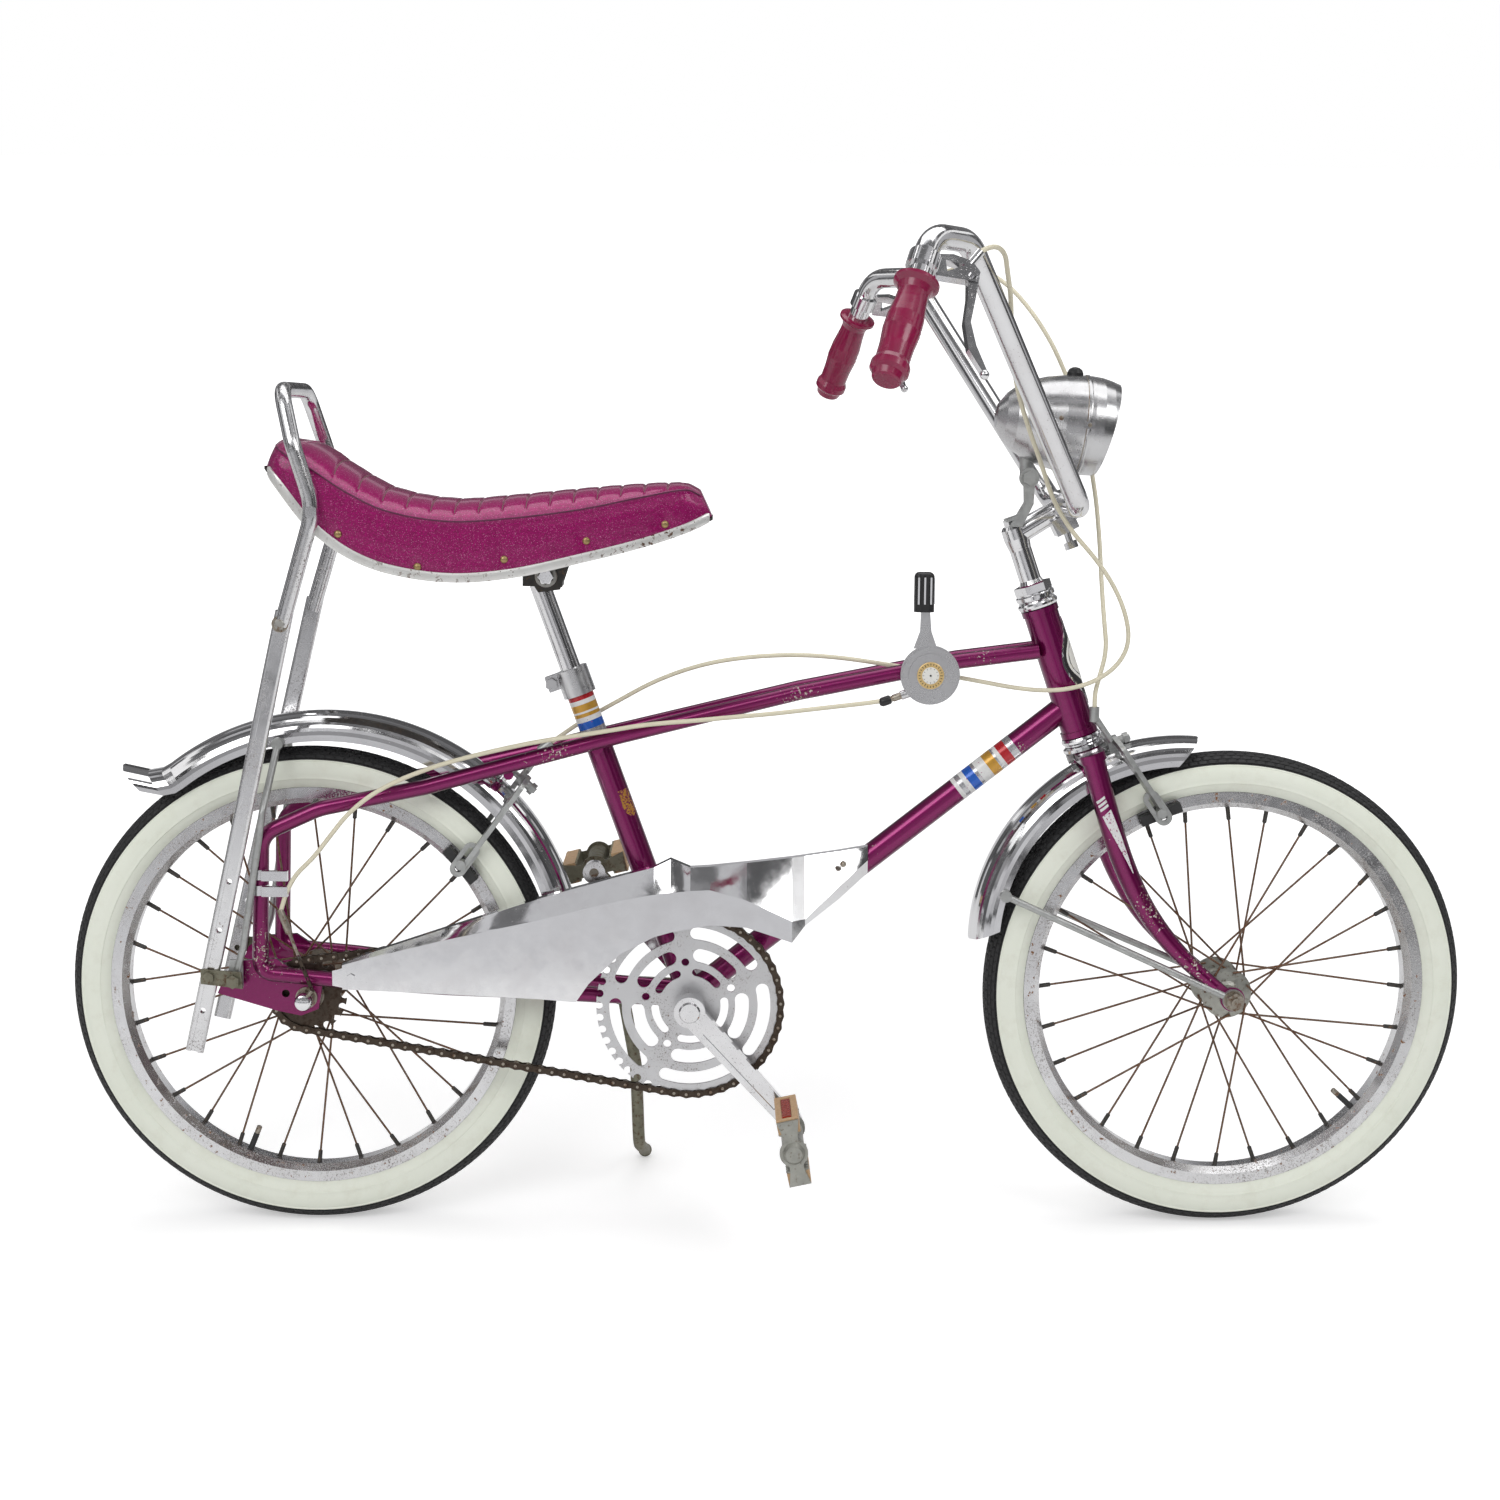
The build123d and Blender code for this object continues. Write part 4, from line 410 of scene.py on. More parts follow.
# Mesh helpers
def piece(name, verts, faces, looks, body, index=None, smooth=True, sharp=38, slot=None):
    """A mesh in millimetres on the upright bicycle, placed with its body and made to ride on it."""
    mesh = bpy.data.meshes.new(name)
    mesh.from_pydata([tuple(v) for v in verts], [], [tuple(f) for f in faces])
    for look in [looks] if isinstance(looks, str) else looks:
        mesh.materials.append(M[look])
    if index is not None:
        mesh.polygons.foreach_set("material_index", np.array(index, np.int32))
    mesh.polygons.foreach_set("use_smooth", np.full(len(mesh.polygons), smooth))
    mesh.transform(TO_STEER if body in ("steering", "front_wheel") else TO_FRAME)
    mesh.update()
    if smooth:
        mesh.set_sharp_from_angle(angle=radians(sharp))
    ob = placed(name, mesh)
    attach(ob, body)
    return ob


class Shape:
    """Gathers several closed forms into one piece."""

    def __init__(self):
        self.verts, self.faces, self.index = [], [], []

    def add(self, verts, faces, look=0):
        n = len(self.verts)
        self.verts += [Vector(v) for v in verts]
        self.faces += [tuple(i + n for i in f) for f in faces]
        self.index += [look] * len(faces)
        return self

    def turn(self, o, d, prof, n, look=0):
        return self.add(*solid_turn(o, d, prof, n), look)

    def make(self, name, looks, body, **kw):
        return piece(name, self.verts, self.faces, looks, body, index=self.index, **kw)


def axes_of(d):
    """The direction and two axes square to it."""
    d = Vector(d).normalized()
    side = d.cross(Vector((0, 0, 1)) if abs(d.z) < 0.9 else Vector((1, 0, 0))).normalized()
    return d, side, side.cross(d)


def lathe(o, d, prof, n=32):
    """A closed profile of (radius, place along d) turned round the axis d at o."""
    d, a, b = axes_of(d)
    o = Vector(o)
    verts, faces = [], []
    for k in range(n):
        t = 2 * pi * k / n
        for r, s in prof:
            verts.append(o + d * s + (a * cos(t) + b * sin(t)) * r)
    m = len(prof)
    for k in range(n):
        for i in range(m):
            j = (i + 1) % m
            faces.append((k * m + i, k * m + j, (k + 1) % n * m + j, (k + 1) % n * m + i))
    return verts, faces


def solid_turn(o, d, prof, n=32):
    """A turned solid whose profile starts and ends on the axis."""
    d, a, b = axes_of(d)
    o = Vector(o)
    inner = prof[1:-1]
    verts = [o + d * prof[0][1], o + d * prof[-1][1]]
    for k in range(n):
        t = 2 * pi * k / n
        for r, s in inner:
            verts.append(o + d * s + (a * cos(t) + b * sin(t)) * r)
    m = len(inner)
    faces = []
    for k in range(n):
        p, q = 2 + k * m, 2 + (k + 1) % n * m
        faces.append((0, q, p))
        for i in range(m - 1):
            faces.append((p + i, q + i, q + i + 1, p + i + 1))
        faces.append((1, p + m - 1, q + m - 1))
    return verts, faces


# Outward on the bicycle's right side
OUT = Vector((0, -1, 0))


def pin(r, h):
    """The profile of a plain turned pin."""
    return [(0, 0), (r, 0), (r, h), (0, h)]


def rectangle(x0, x1, y0, y1):
    return [(x0, y0), (x1, y0), (x1, y1), (x0, y1)]


def bell(distance, width):
    """1 at no distance, falling smoothly to nothing."""
    return 2.718 ** (-(distance / width) ** 2)


def sheet_faces(rows, cols):
    """Faces of a thin closed sheet: a grid of outer points, then the same grid of inner points."""
    n = cols + 1
    m = n * (rows + 1)
    faces = []
    for j in range(rows):
        for i in range(cols):
            q = (j * n + i, j * n + i + 1, (j + 1) * n + i + 1, (j + 1) * n + i)
            faces += [q, tuple(k + m for k in reversed(q))]
    rim = list(range(n)) + [j * n + cols for j in range(1, rows + 1)]
    rim += [rows * n + i for i in range(cols - 1, -1, -1)] + [j * n for j in range(rows - 1, 0, -1)]
    return faces + [(b, a, a + m, b + m) for a, b in zip(rim, rim[1:] + rim[:1])]


def prism(outline, o, u, v, depth):
    """A closed outline in the plane of u and v at o, extruded by the vector depth."""
    o, u, v, depth = Vector(o), Vector(u), Vector(v), Vector(depth)
    n = len(outline)
    verts = [o + u * x + v * y for x, y in outline] + [o + u * x + v * y + depth for x, y in outline]
    faces = [tuple(range(n)), tuple(range(2 * n - 1, n - 1, -1))]
    faces += [(i, n + i, n + (i + 1) % n, (i + 1) % n) for i in range(n)]
    return verts, faces


def hexagon(o, d, r, h, chamfer=0.8):
    """A six-sided nut or bolt head with chamfered corners."""
    d, a, b = axes_of(d)
    verts, faces = [], []
    levels = [(r - chamfer, 0), (r, chamfer), (r, h - chamfer), (r - chamfer * 1.4, h)]
    for rr, s in levels:
        for k in range(6):
            t = pi / 3 * k
            verts.append(Vector(o) + d * s + (a * cos(t) + b * sin(t)) * rr)
    for i in range(3):
        for k in range(6):
            faces.append((i * 6 + k, (i + 1) * 6 + k, (i + 1) * 6 + (k + 1) % 6, i * 6 + (k + 1) % 6))
    faces += [tuple(range(6)), tuple(range(23, 17, -1))]
    return verts, faces


def sweep(points, ring, ups=None, closed=False):
    """A closed ring of (side, up) offsets carried along points; ups gives each up vector."""
    pts = [Vector(p) for p in points]
    n, m = len(pts), len(ring)
    verts, faces = [], []
    up = None
    for i, p in enumerate(pts):
        a = pts[(i - 1) % n] if closed or i else pts[0]
        b = pts[(i + 1) % n] if closed or i < n - 1 else pts[-1]
        d = (b - a).normalized()
        if ups is not None:
            up = Vector(ups[i])
        elif up is None:
            up = Vector((0, 1, 0)) if abs(d.y) < 0.8 else Vector((0, 0, 1))
        up = (up - d * up.dot(d)).normalized()
        side = d.cross(up)
        verts += [p + side * x + up * y for x, y in ring]
    for i in range(n if closed else n - 1):
        j = (i + 1) % n
        for k in range(m):
            faces.append((i * m + k, i * m + (k + 1) % m, j * m + (k + 1) % m, j * m + k))
    if not closed:
        faces += [tuple(range(m - 1, -1, -1)), tuple(range((n - 1) * m, n * m))]
    return verts, faces


def circle(r, n=10):
    return [(r * cos(2 * pi * k / n), r * sin(2 * pi * k / n)) for k in range(n)]


def smooth_table(table, at):
    """Rows of (place, values...) read at one place along a smooth curve."""
    xs = [row[0] for row in table]
    i = min(max(int(np.searchsorted(xs, at)) - 1, 0), len(xs) - 2)
    h = xs[i + 1] - xs[i]
    t = min(max((at - xs[i]) / h, 0.0), 1.0)
    res = []
    for c in range(1, len(table[0])):
        y0, y1 = table[i][c], table[i + 1][c]
        s0 = (y1 - table[i - 1][c]) / (xs[i + 1] - xs[i - 1]) if i > 0 else (y1 - y0) / h
        s1 = (table[i + 2][c] - y0) / (xs[i + 2] - xs[i]) if i < len(xs) - 2 else (y1 - y0) / h
        a, b = t * t * (3 - 2 * t), t * (1 - t)
        res.append(y0 * (1 - a) + y1 * a + h * b * ((1 - t) * s0 - t * s1))
    return res


# Seat: a crowned, cross-stitched top over glitter sides that are riveted to the pan
SEAT_ST = [
    (-268, 155, 149, 129, 70), (-254, 155, 143, 113, 82), (-223, 150, 128, 74, 88),
    (-188, 127, 105, 46, 88), (-148, 106, 86, 29, 86), (-88, 96, 76, 20, 82),
    (-28, 100, 79, 24, 76), (42, 107, 88, 39, 66), (102, 112, 100, 54, 55),
    (147, 113, 107, 69, 45), (172, 107, 100, 81, 36),
]
SEAT_X0, SEAT_X1 = SEAT_ST[0][0] + 1.5, SEAT_ST[-1][0] - 1.0
PLEAT_PITCH = 23.26
PLEATS = [39 + PLEAT_PITCH * k - SEAT_TOP.x for k in range(15)]
PLEAT_DEPTH = 1.5
PLEAT_STEPS = (-2.6, -1.5, -0.9, -0.45, 0.45, 0.9, 1.5, 2.6)
THREAD_REACH = 19.5
SIDE_POINTS, CROWN_POINTS = 12, 22
DIMPLE = 2.2
RIVETS = [(43.7, 720.8), (120.3, 689.2), (204.5, 696.6), (284.7, 714.8), (362.0, 731.0)]


def seat_ring(x, shrink, deep):
    """The seat's section at x: points up one side, over the top and down the other."""
    top, seam, low, half = smooth_table(SEAT_ST, x)
    low += 1.0
    half *= shrink
    top = seam + (top - seam) * (0.4 + 0.6 * shrink)
    run = []
    for k in range(SIDE_POINTS):
        t = k / (SIDE_POINTS - 1)
        z = low + (seam - low) * t
        y = half - 3.0 + 3.2 * sin(pi * min(1.0, t * 1.06)) ** 0.8 - 1.0 * t
        for rx, rz in RIVETS:
            dx, dz = x + SEAT_TOP.x - rx, z + SEAT_TOP.z - rz
            d = hypot(dx, dz)
            y -= DIMPLE * bell(d, 9.0)
            y -= 0.5 * cos(atan2(dz, dx) * 5 + rx) * bell(d - 13, 8.0)
        run.append((y, z, 0))
    edge = half - 4.3
    run += [(edge + 1.1, seam + 0.9, 2), (edge + 0.2, seam + 2.0, 2)]
    for k in range(1, CROWN_POINTS):
        t = k / CROWN_POINTS
        z = seam + 0.6 + (top - seam) * (1 - (1 - t) ** 2.6) ** 0.72
        run.append((edge * (1 - t), z - deep * min(1.0, max(0.0, t - 0.06) * 9.0), 1))
    pts = [(-y, z) for y, z, m in run] + [(0.0, seam + 0.6 + (top - seam) - deep)]
    pts += [(y, z) for y, z, m in reversed(run)]
    marks = [m for y, z, m in run]
    return pts, marks + [1] + marks[::-1]


def end_slant(x, rise):
    """How far a point this high above the base leans inward at the seat's two ends."""
    front = max(0.0, 1 - (SEAT_X1 - x) / 34.0) ** 2
    back = max(0.0, 1 - (x - SEAT_X0) / 30.0) ** 2
    return rise * (0.42 * back - 0.46 * front)


def seat():
    """The cover as rings along its length, with thread in the cross seams and closed ends."""
    marks_at = [p + d for p in PLEATS for d in PLEAT_STEPS]
    even = np.linspace(SEAT_X0, SEAT_X1, 190)
    xs = sorted(marks_at + [x for x in even if min(abs(x - p) for p in PLEATS) > 3.2])
    rings = []
    for x in xs:
        gap = min(abs(x - p) for p in PLEATS)
        deep = PLEAT_DEPTH * bell(gap, 1.2) - 0.5 * min(1.0, gap / 11.6)
        if not PLEATS[0] - 12 < x < PLEATS[-1] + 12:
            deep = 0.0
        end = min(x - SEAT_X0, SEAT_X1 - x)
        shrink = sqrt(max(0.0, 1 - (1 - min(1.0, end / 11.0)) ** 2)) * 0.10 + 0.90
        pts, marks = seat_ring(x, shrink, deep)
        rings.append(pts)
    verts, faces, index = [], [], []
    m = len(rings[0])
    for x, pts in zip(xs, rings):
        low = min(z for y, z in pts)
        for y, z in pts:
            verts.append((x + SEAT_TOP.x + end_slant(x, z - low), y, z + SEAT_TOP.z))
    half = (m - 1) / 2
    for i in range(len(xs) - 1):
        thread = any(abs((xs[i] + xs[i + 1]) / 2 - p) < 0.3 for p in PLEATS)
        for k in range(m - 1):
            a = i * m + k
            faces.append((a, a + 1, a + m + 1, a + m))
            look = 0 if 2 in (marks[k], marks[k + 1]) else marks[k]
            index.append(2 if thread and abs(k + 0.5 - half) < THREAD_REACH and look == 1 else look)
        faces.append((i * m + m - 1, i * m, i * m + m, i * m + 2 * m - 1))
        index.append(0)
    for base, flip in ((0, False), ((len(xs) - 1) * m, True)):
        centre = sum((Vector(verts[base + k]) for k in range(m)), Vector()) / m
        verts.append(tuple(centre))
        c = len(verts) - 1
        for k in range(m):
            a, b = base + k, base + (k + 1) % m
            faces.append((c, b, a) if not flip else (c, a, b))
            index.append(0)
    ob = piece("seat_cover", verts, faces, ["vinyl_side", "vinyl_top", "pleat"], "frame", index=index,
               sharp=60, slot="glitter_vinyl")
    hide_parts("seat_cushion")


seat()


def seat_line(offset_y, offset_z, which):
    """A line along the seat's left side, near its seam or its base."""
    pts = []
    for x in np.arange(SEAT_ST[0][0] + 6, SEAT_ST[-1][0] - 4, 3.0):
        top, seam, low, half = smooth_table(SEAT_ST, x)
        z = {"seam": seam, "low": low}[which]
        pts.append((x + SEAT_TOP.x + end_slant(x, z - low), half + offset_y, z + SEAT_TOP.z + offset_z))
    return pts


# The welt where the top is sewn to the sides
welt = Shape()
for sg in (1, -1):
    line = [(x, y * sg, z) for x, y, z in seat_line(-4.0, 0.8, "seam")]
    welt.add(*sweep(line, circle(0.9, 6)))
welt.make("seat_welt", "seam", "frame")

# Edging along the base, all the way round
edge = [(x, -y, z) for x, y, z in seat_line(-1.8, 1.5, "low")]
edge += [(x, y, z) for x, y, z in reversed(seat_line(-1.8, 1.5, "low"))]
rim_ring = [(-1.4, -4.6), (1.2, -4.6), (1.9, -3.0), (1.9, 3.2), (1.0, 4.8), (-1.4, 4.8)]
Shape().add(*sweep(edge, rim_ring, ups=[(0, 0, 1)] * len(edge), closed=True)).make(
    "seat_edging", "trim", "frame")

RIVET = [(0, -2), (3.6, -2), (3.9, 0.2), (3.4, 1.1), (2.1, 1.9), (0, 2.2)]
rivets = Shape()
for rx, rz in RIVETS:
    top, seam, low, half = smooth_table(SEAT_ST, rx - SEAT_TOP.x)
    for sg in (1, -1):
        rivets.turn((rx, sg * (half - 2.4), rz), (0, sg, 0), RIVET, 18)
rivets.make("seat_rivets", "brass", "frame")


# Tyres: a white wall and a tread of staggered blocks
TYRE_SEC = 23.5
RING_R = 226.5
TYRE_STEPS = 900
TREAD_ROWS = 9
TREAD_SPAN = 55.0
TREAD_DEPTH = 1.3


def tyre(name, cx, body, node):
    """Section points are (angle, rise, kind), with kind w for wall, s shoulder, g groove, b block."""
    wall = [(a, 0.0) for a in (139.5, 134, 128, 122, 116)]
    wall += [(112, 0.0), (110, 0.55), (107.5, 0.55), (105, 0.0)] + [(a, 0.0) for a in (98, 90, 82, 74, 68)]
    wall += [(64.5, 0.0), (63, 0.7), (60.5, 0.7), (59.5, 0.0)]
    w = 2 * TREAD_SPAN / TREAD_ROWS
    cuts = []
    for r in range(TREAD_ROWS):
        a0 = TREAD_SPAN - 2 * TREAD_SPAN * r / TREAD_ROWS
        cuts += [(a0, "g"), (a0 - w * 0.13, "b"), (a0 - w * 0.5, "b"), (a0 - w * 0.87, "b")]
    cuts.append((-TREAD_SPAN, "g"))
    verts, faces, index = [], [], []
    prof = [(a, d, "w") for a, d in wall] + [(57.5, 0.0, "s")]
    prof += [(a, 0.0, kind) for a, kind in cuts]
    prof += [(-57.5, 0.0, "s")] + [(-a, d, "w") for a, d in reversed(wall)]
    m = len(prof)
    for k in range(TYRE_STEPS):
        t = 2 * pi * k / TYRE_STEPS
        for i, (a, d, kind) in enumerate(prof):
            rr = TYRE_SEC - 0.15
            if kind == "g":
                rr -= TREAD_DEPTH
            if kind == "b":
                row = int((TREAD_SPAN - a) / w)
                if (k + (3 if row % 2 else 0)) % 6 == 0:
                    rr -= 1.1
            if kind == "w":
                rr += d - 0.5
            ar = radians(a)
            rad = RING_R + rr * cos(ar)
            verts.append((cx + rad * cos(t), rr * sin(ar), AXLE_Z + rad * sin(t)))
    for k in range(TYRE_STEPS):
        j = (k + 1) % TYRE_STEPS
        for i in range(m):
            n = (i + 1) % m
            faces.append((k * m + i, k * m + n, j * m + n, j * m + i))
            white = prof[i][2] == "w" and prof[n][2] == "w" and 59 < abs(prof[i][0]) and i != m - 1
            index.append(1 if white else 0)
    ob = piece(name, verts, faces, ["tread", "wall"], body, index=index, sharp=30, slot="tyre")
    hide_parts(node)


tyre("rear_tyre_dressed", 0.0, "rear_wheel", "rear_tyre")
tyre("front_tyre_dressed", WHEELBASE, "front_wheel", "front_tyre")

# Valves
VALVE_STEM = [(0, -4), (4.2, -4), (4.2, 0), (3.1, 3), (3.1, 19), (2.6, 20), (0, 20)]
VALVE_CAP = [(0, 0), (2.9, 0), (2.9, 7.2), (2.2, 8), (0, 8)]
for tag, cx, ang, body in (("rear", 0.0, 248, "rear_wheel"), ("front", WHEELBASE, 318, "front_wheel")):
    d = Vector((-cos(radians(ang)), 0, -sin(radians(ang))))
    o = Vector((cx, 0, AXLE_Z)) - d * 194
    valve = Shape()
    valve.turn(o, d, VALVE_STEM, 14, 0)
    valve.turn(o + d * 20, d, VALVE_CAP, 14, 1)
    valve.make(tag + "_valve", ["rubber", "nut"], body)

# Nipples where the spokes meet the rims
SPOKES = 28
SPOKE_LAY = 62.0
NIPPLE = [(0, 0), (3.3, 0), (3.3, 1.6), (2.3, 2.6), (2.2, 15.4), (1.2, 16.2), (0, 16.2)]
for tag, cx, body, flange in (("rear", 0.0, "rear_wheel", 26.5), ("front", WHEELBASE, "front_wheel", 22.5)):
    nip = Shape()
    for i in range(SPOKES):
        a = 2 * pi * i / SPOKES
        side = 1 if i % 2 == 0 else -1
        lay = 1 if (i // 2) % 2 == 0 else -1
        sw = radians(SPOKE_LAY * lay)
        hub_end = Vector((cx + flange * cos(a + sw), side * (27 + 2.7 * lay), AXLE_Z + flange * sin(a + sw)))
        rim_end = Vector((cx + 193 * cos(a), side * 3.0, AXLE_Z + 193 * sin(a)))
        d = (hub_end - rim_end).normalized()
        nip.turn(rim_end - d * 1.0, d, NIPPLE, 10)
    nip.make(tag + "_nipples", "dark_steel", body)


# Chain: plates, rollers and pins along the loop
PITCH = 12.7
RING_PITCH_R = PITCH / (2 * sin(pi / 46))
COG_PITCH_R = PITCH / (2 * sin(pi / 18))
CHAIN_Y = -48.0
CHAIN_PIN = [(0, 0), (1.5, 0), (1.7, 0.4), (1.7, 7.6), (1.5, 8.0), (0, 8.0)]


def chain_path():
    r1, r2 = RING_PITCH_R, COG_PITCH_R
    dx, dz = -BB.x, AXLE_Z - BB.z
    d = hypot(dx, dz)
    base = atan2(dz, dx)
    off = acos((r1 - r2) / d)
    pts = []
    for k in range(181):
        a = base + off + (2 * pi - 2 * off) * k / 180
        pts.append((BB.x + r1 * cos(a), BB.z + r1 * sin(a)))
    for k in range(91):
        a = base - off + 2 * off * k / 90
        pts.append((r2 * cos(a), AXLE_Z + r2 * sin(a)))
    return np.array(pts + [pts[0]])


def half_round(x, r, start):
    return [(x + r * cos(start + pi * k / 8), r * sin(start + pi * k / 8)) for k in range(9)]


def chain():
    path = chain_path()
    step = np.hypot(*np.diff(path, axis=0).T)
    run = np.concatenate([[0], np.cumsum(step)])
    count = 2 * round(run[-1] / PITCH / 2)
    at = np.linspace(0, run[-1], count + 1)[:-1]
    xs, zs = np.interp(at, run, path[:, 0]), np.interp(at, run, path[:, 1])
    links = Shape()
    for i in range(count):
        a = Vector((xs[i], 0, zs[i]))
        b = Vector((xs[(i + 1) % count], 0, zs[(i + 1) % count]))
        u = (b - a).normalized()
        v = Vector((-u.z, 0, u.x))
        n = (b - a).length
        outline = half_round(0, 4.1, pi / 2) + [(n / 2, -2.9)] + half_round(n, 4.1, -pi / 2) + [(n / 2, 2.9)]
        ys = (2.95, 3.85) if i % 2 else (1.95, 2.85)
        for sg in (1, -1):
            o = a + Vector((0, CHAIN_Y + sg * ys[0], 0))
            links.add(*prism(outline, o, u, v, (0, sg * (ys[1] - ys[0]), 0)), 0)
        links.turn(a + Vector((0, CHAIN_Y - 1.9, 0)), (0, 1, 0), pin(3.9, 3.8), 12, 1)
        links.turn(a + Vector((0, CHAIN_Y - 4.0, 0)), (0, 1, 0), CHAIN_PIN, 8, 1)
    ob = links.make("chain_links", ["chain", "nut"], "frame", slot="chain_steel")
    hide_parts("chain")


chain()

# Rear brake cable, one fixed tube curving from the bars to the frame
CABLE_R = 2.3
RCAB = [
    (637.5, -292, 980.5), (650, -280, 988), (664, -259, 983), (669.5, -236, 968), (678.5, -202.5, 946),
    (683.5, -172.5, 906), (693.5, -149, 863.4), (711, -124.5, 823), (727, -100, 792), (741, -77, 761),
    (764, -50, 729), (792, -43, 700), (813, -41, 671), (826, -40, 641), (830, -38, 614), (820, -36, 592),
    (800, -33, 576), (776, -29, 567), (748, -25.5, 564), (716, -20, 566.5), (685, -10, 571.5), (655, -3, 576),
    (622, 0, 582), (585, 0, 588), (543, 0, 594), (499.6, 0, 597), (448.4, 2, 594.5), (400, 7, 586),
    (352, 16, 568), (312, 21, 545), (280, 21.5, 527),
]


def nurbs_line(points, name):
    """Points along a smooth spline whose control points are the route's."""
    curve = bpy.data.curves.new(name, "CURVE")
    curve.dimensions = "3D"
    spline = curve.splines.new("NURBS")
    spline.points.add(len(points) - 1)
    for q, p in zip(spline.points, points):
        q.co = (*p, 1.0)
    spline.order_u = 3
    spline.use_endpoint_u = True
    curve.resolution_u = 8
    ob = bpy.data.objects.new(name, curve)
    mesh = bpy.data.meshes.new_from_object(ob)
    line = [Vector(v.co) for v in mesh.vertices]
    bpy.data.meshes.remove(mesh)
    bpy.data.objects.remove(ob)
    bpy.data.curves.remove(curve)
    return line


RCAB_TURNED = 16
rear_route = [TO_STEER @ Vector(p) for p in RCAB[:RCAB_TURNED + 1]]
rear_route += [TO_FRAME @ Vector(p) for p in RCAB[RCAB_TURNED + 1:]]
rear_route += [TO_FRAME @ Vector(p) for p in ((257.5, 17.1, 512.2), (243.89, 15.09, 502.32))]
rear_line = nurbs_line(rear_route, "rear_cable_line")
v, f = sweep([p * 1000 for p in rear_line], circle(CABLE_R, 12))
mesh = bpy.data.meshes.new("rear_cable_tube")
mesh.from_pydata([tuple(p * 0.001) for p in v], [], f)
mesh.materials.append(M["cable"])
mesh.polygons.foreach_set("use_smooth", np.full(len(mesh.polygons), True))
rear_cable = placed("rear_cable_tube", mesh)
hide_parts("rear_brake_cable")
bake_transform(rear_cable)

# Printed bands round the down tube and the seat tube
DOWN_FROM = at_axis(-54)
DOWN_DIR = (BB - DOWN_FROM).normalized()
SEAT_DIR = (SEAT_TOP - BB).normalized()
DOWN_BANDS = [
    ("white_print", 0.0, 0.06), ("silver_print", 0.06, 0.13), ("white_print", 0.13, 0.20),
    ("blue_print", 0.20, 0.33), ("silver_print", 0.33, 0.38), ("white_print", 0.38, 0.53),
    ("gold_print", 0.53, 0.67), ("silver_print", 0.67, 0.70), ("white_print", 0.70, 0.76),
    ("red_print", 0.76, 0.89), ("silver_print", 0.89, 1.0),
]
SEAT_BANDS = [
    ("white_print", 0.0, 0.07), ("red_print", 0.07, 0.27), ("white_print", 0.27, 0.36),
    ("gold_print", 0.36, 0.50), ("white_print", 0.50, 0.54), ("gold_print", 0.54, 0.61),
    ("white_print", 0.61, 0.71), ("blue_print", 0.71, 0.86), ("silver_print", 0.86, 1.0),
]


def bands(name, start, direction, r, length, table):
    looks = sorted({row[0] for row in table})
    s = Shape()
    for look, a, b in table:
        prof = [(r - 0.4, a * length), (r + 0.16, a * length), (r + 0.16, b * length), (r - 0.4, b * length)]
        s.add(*lathe(start, direction, prof, 40), looks.index(look))
    s.make(name, looks, "frame", sharp=30)


bands("down_tube_bands", DOWN_FROM + DOWN_DIR * 146, -DOWN_DIR, 12.7, 75, DOWN_BANDS)
bands("seat_tube_bands", BB + SEAT_DIR * 344, -SEAT_DIR, 13.5, 52, SEAT_BANDS)


# Prints laid on a tube: each row is (along, across) of its left edge and of its right edge
PRINT_PROUD = 0.14
PRINT_COLUMNS = 6


def cast(tree, to, x, z, y0=-260.0):
    back = to.inverted()
    o = to @ Vector((x, y0, z))
    d = (to @ Vector((x, y0 + 1, z)) - o).normalized()
    hit, normal, _, _ = tree.ray_cast(o, d)
    if hit is None:
        hit, normal, _, _ = tree.find_nearest(to @ Vector((x, -60, z)))
    n = (back.to_3x3() @ normal).normalized()
    return back @ hit, n


def printed(name, line, rows, node, look, body, steps=4):
    origin, along, across = line
    to = TO_STEER if body == "steering" else TO_FRAME
    mesh = frame["nodes"][node].data
    tree = BVHTree.FromPolygons([v.co[:] for v in mesh.vertices], [p.vertices[:] for p in mesh.polygons])

    def at(s, t):
        p = origin + along * s + across * t
        return np.array((p.x, p.z))

    ends = [(at(a, b), at(c, d)) for a, b, c, d in rows]
    lines = []
    for (a, b), (c, d) in zip(ends[:-1], ends[1:]):
        for t in (k / steps for k in range(steps)):
            lines.append((a * (1 - t) + c * t, b * (1 - t) + d * t))
    lines.append(ends[-1])
    top, low = [], []
    for a, b in lines:
        for i in range(PRINT_COLUMNS + 1):
            t = i / PRINT_COLUMNS
            p, n = cast(tree, to, *(a * (1 - t) + b * t))
            top.append(p + n * PRINT_PROUD)
            low.append(p - n * 0.35)
    Shape().add(top + low, sheet_faces(len(lines) - 1, PRINT_COLUMNS)).make(name, look, body, sharp=50)


# Spear and bars on the near fork blade
BLADE_A, BLADE_B = Vector((801, 0, 459)), Vector((848.6, 0, 358))
blade_d = (BLADE_B - BLADE_A).normalized()
BLADE = BLADE_A, blade_d, Vector((blade_d.z, 0, -blade_d.x)) * -1
SPEAR = [(20.0, -5.0, 16.0, 5.6), (30, -4.6, 30, 5.2), (48, -3.0, 46, 4.4), (66, -1.6, 66, 2.6),
         (86, -0.3, 86, 0.5)]
for k in range(3):
    s0 = 2.0 + 4.4 * k
    bar = [(s0 + 1.5, -4.5, s0 - 1.5, 5.0), (s0 + 4.2, -4.5, s0 + 1.2, 5.0)]
    printed(f"fork_bar_{k}", BLADE, bar, "fork", "white_print", "steering")
printed("fork_spear", BLADE, SPEAR, "fork", "spear_print", "steering", 6)

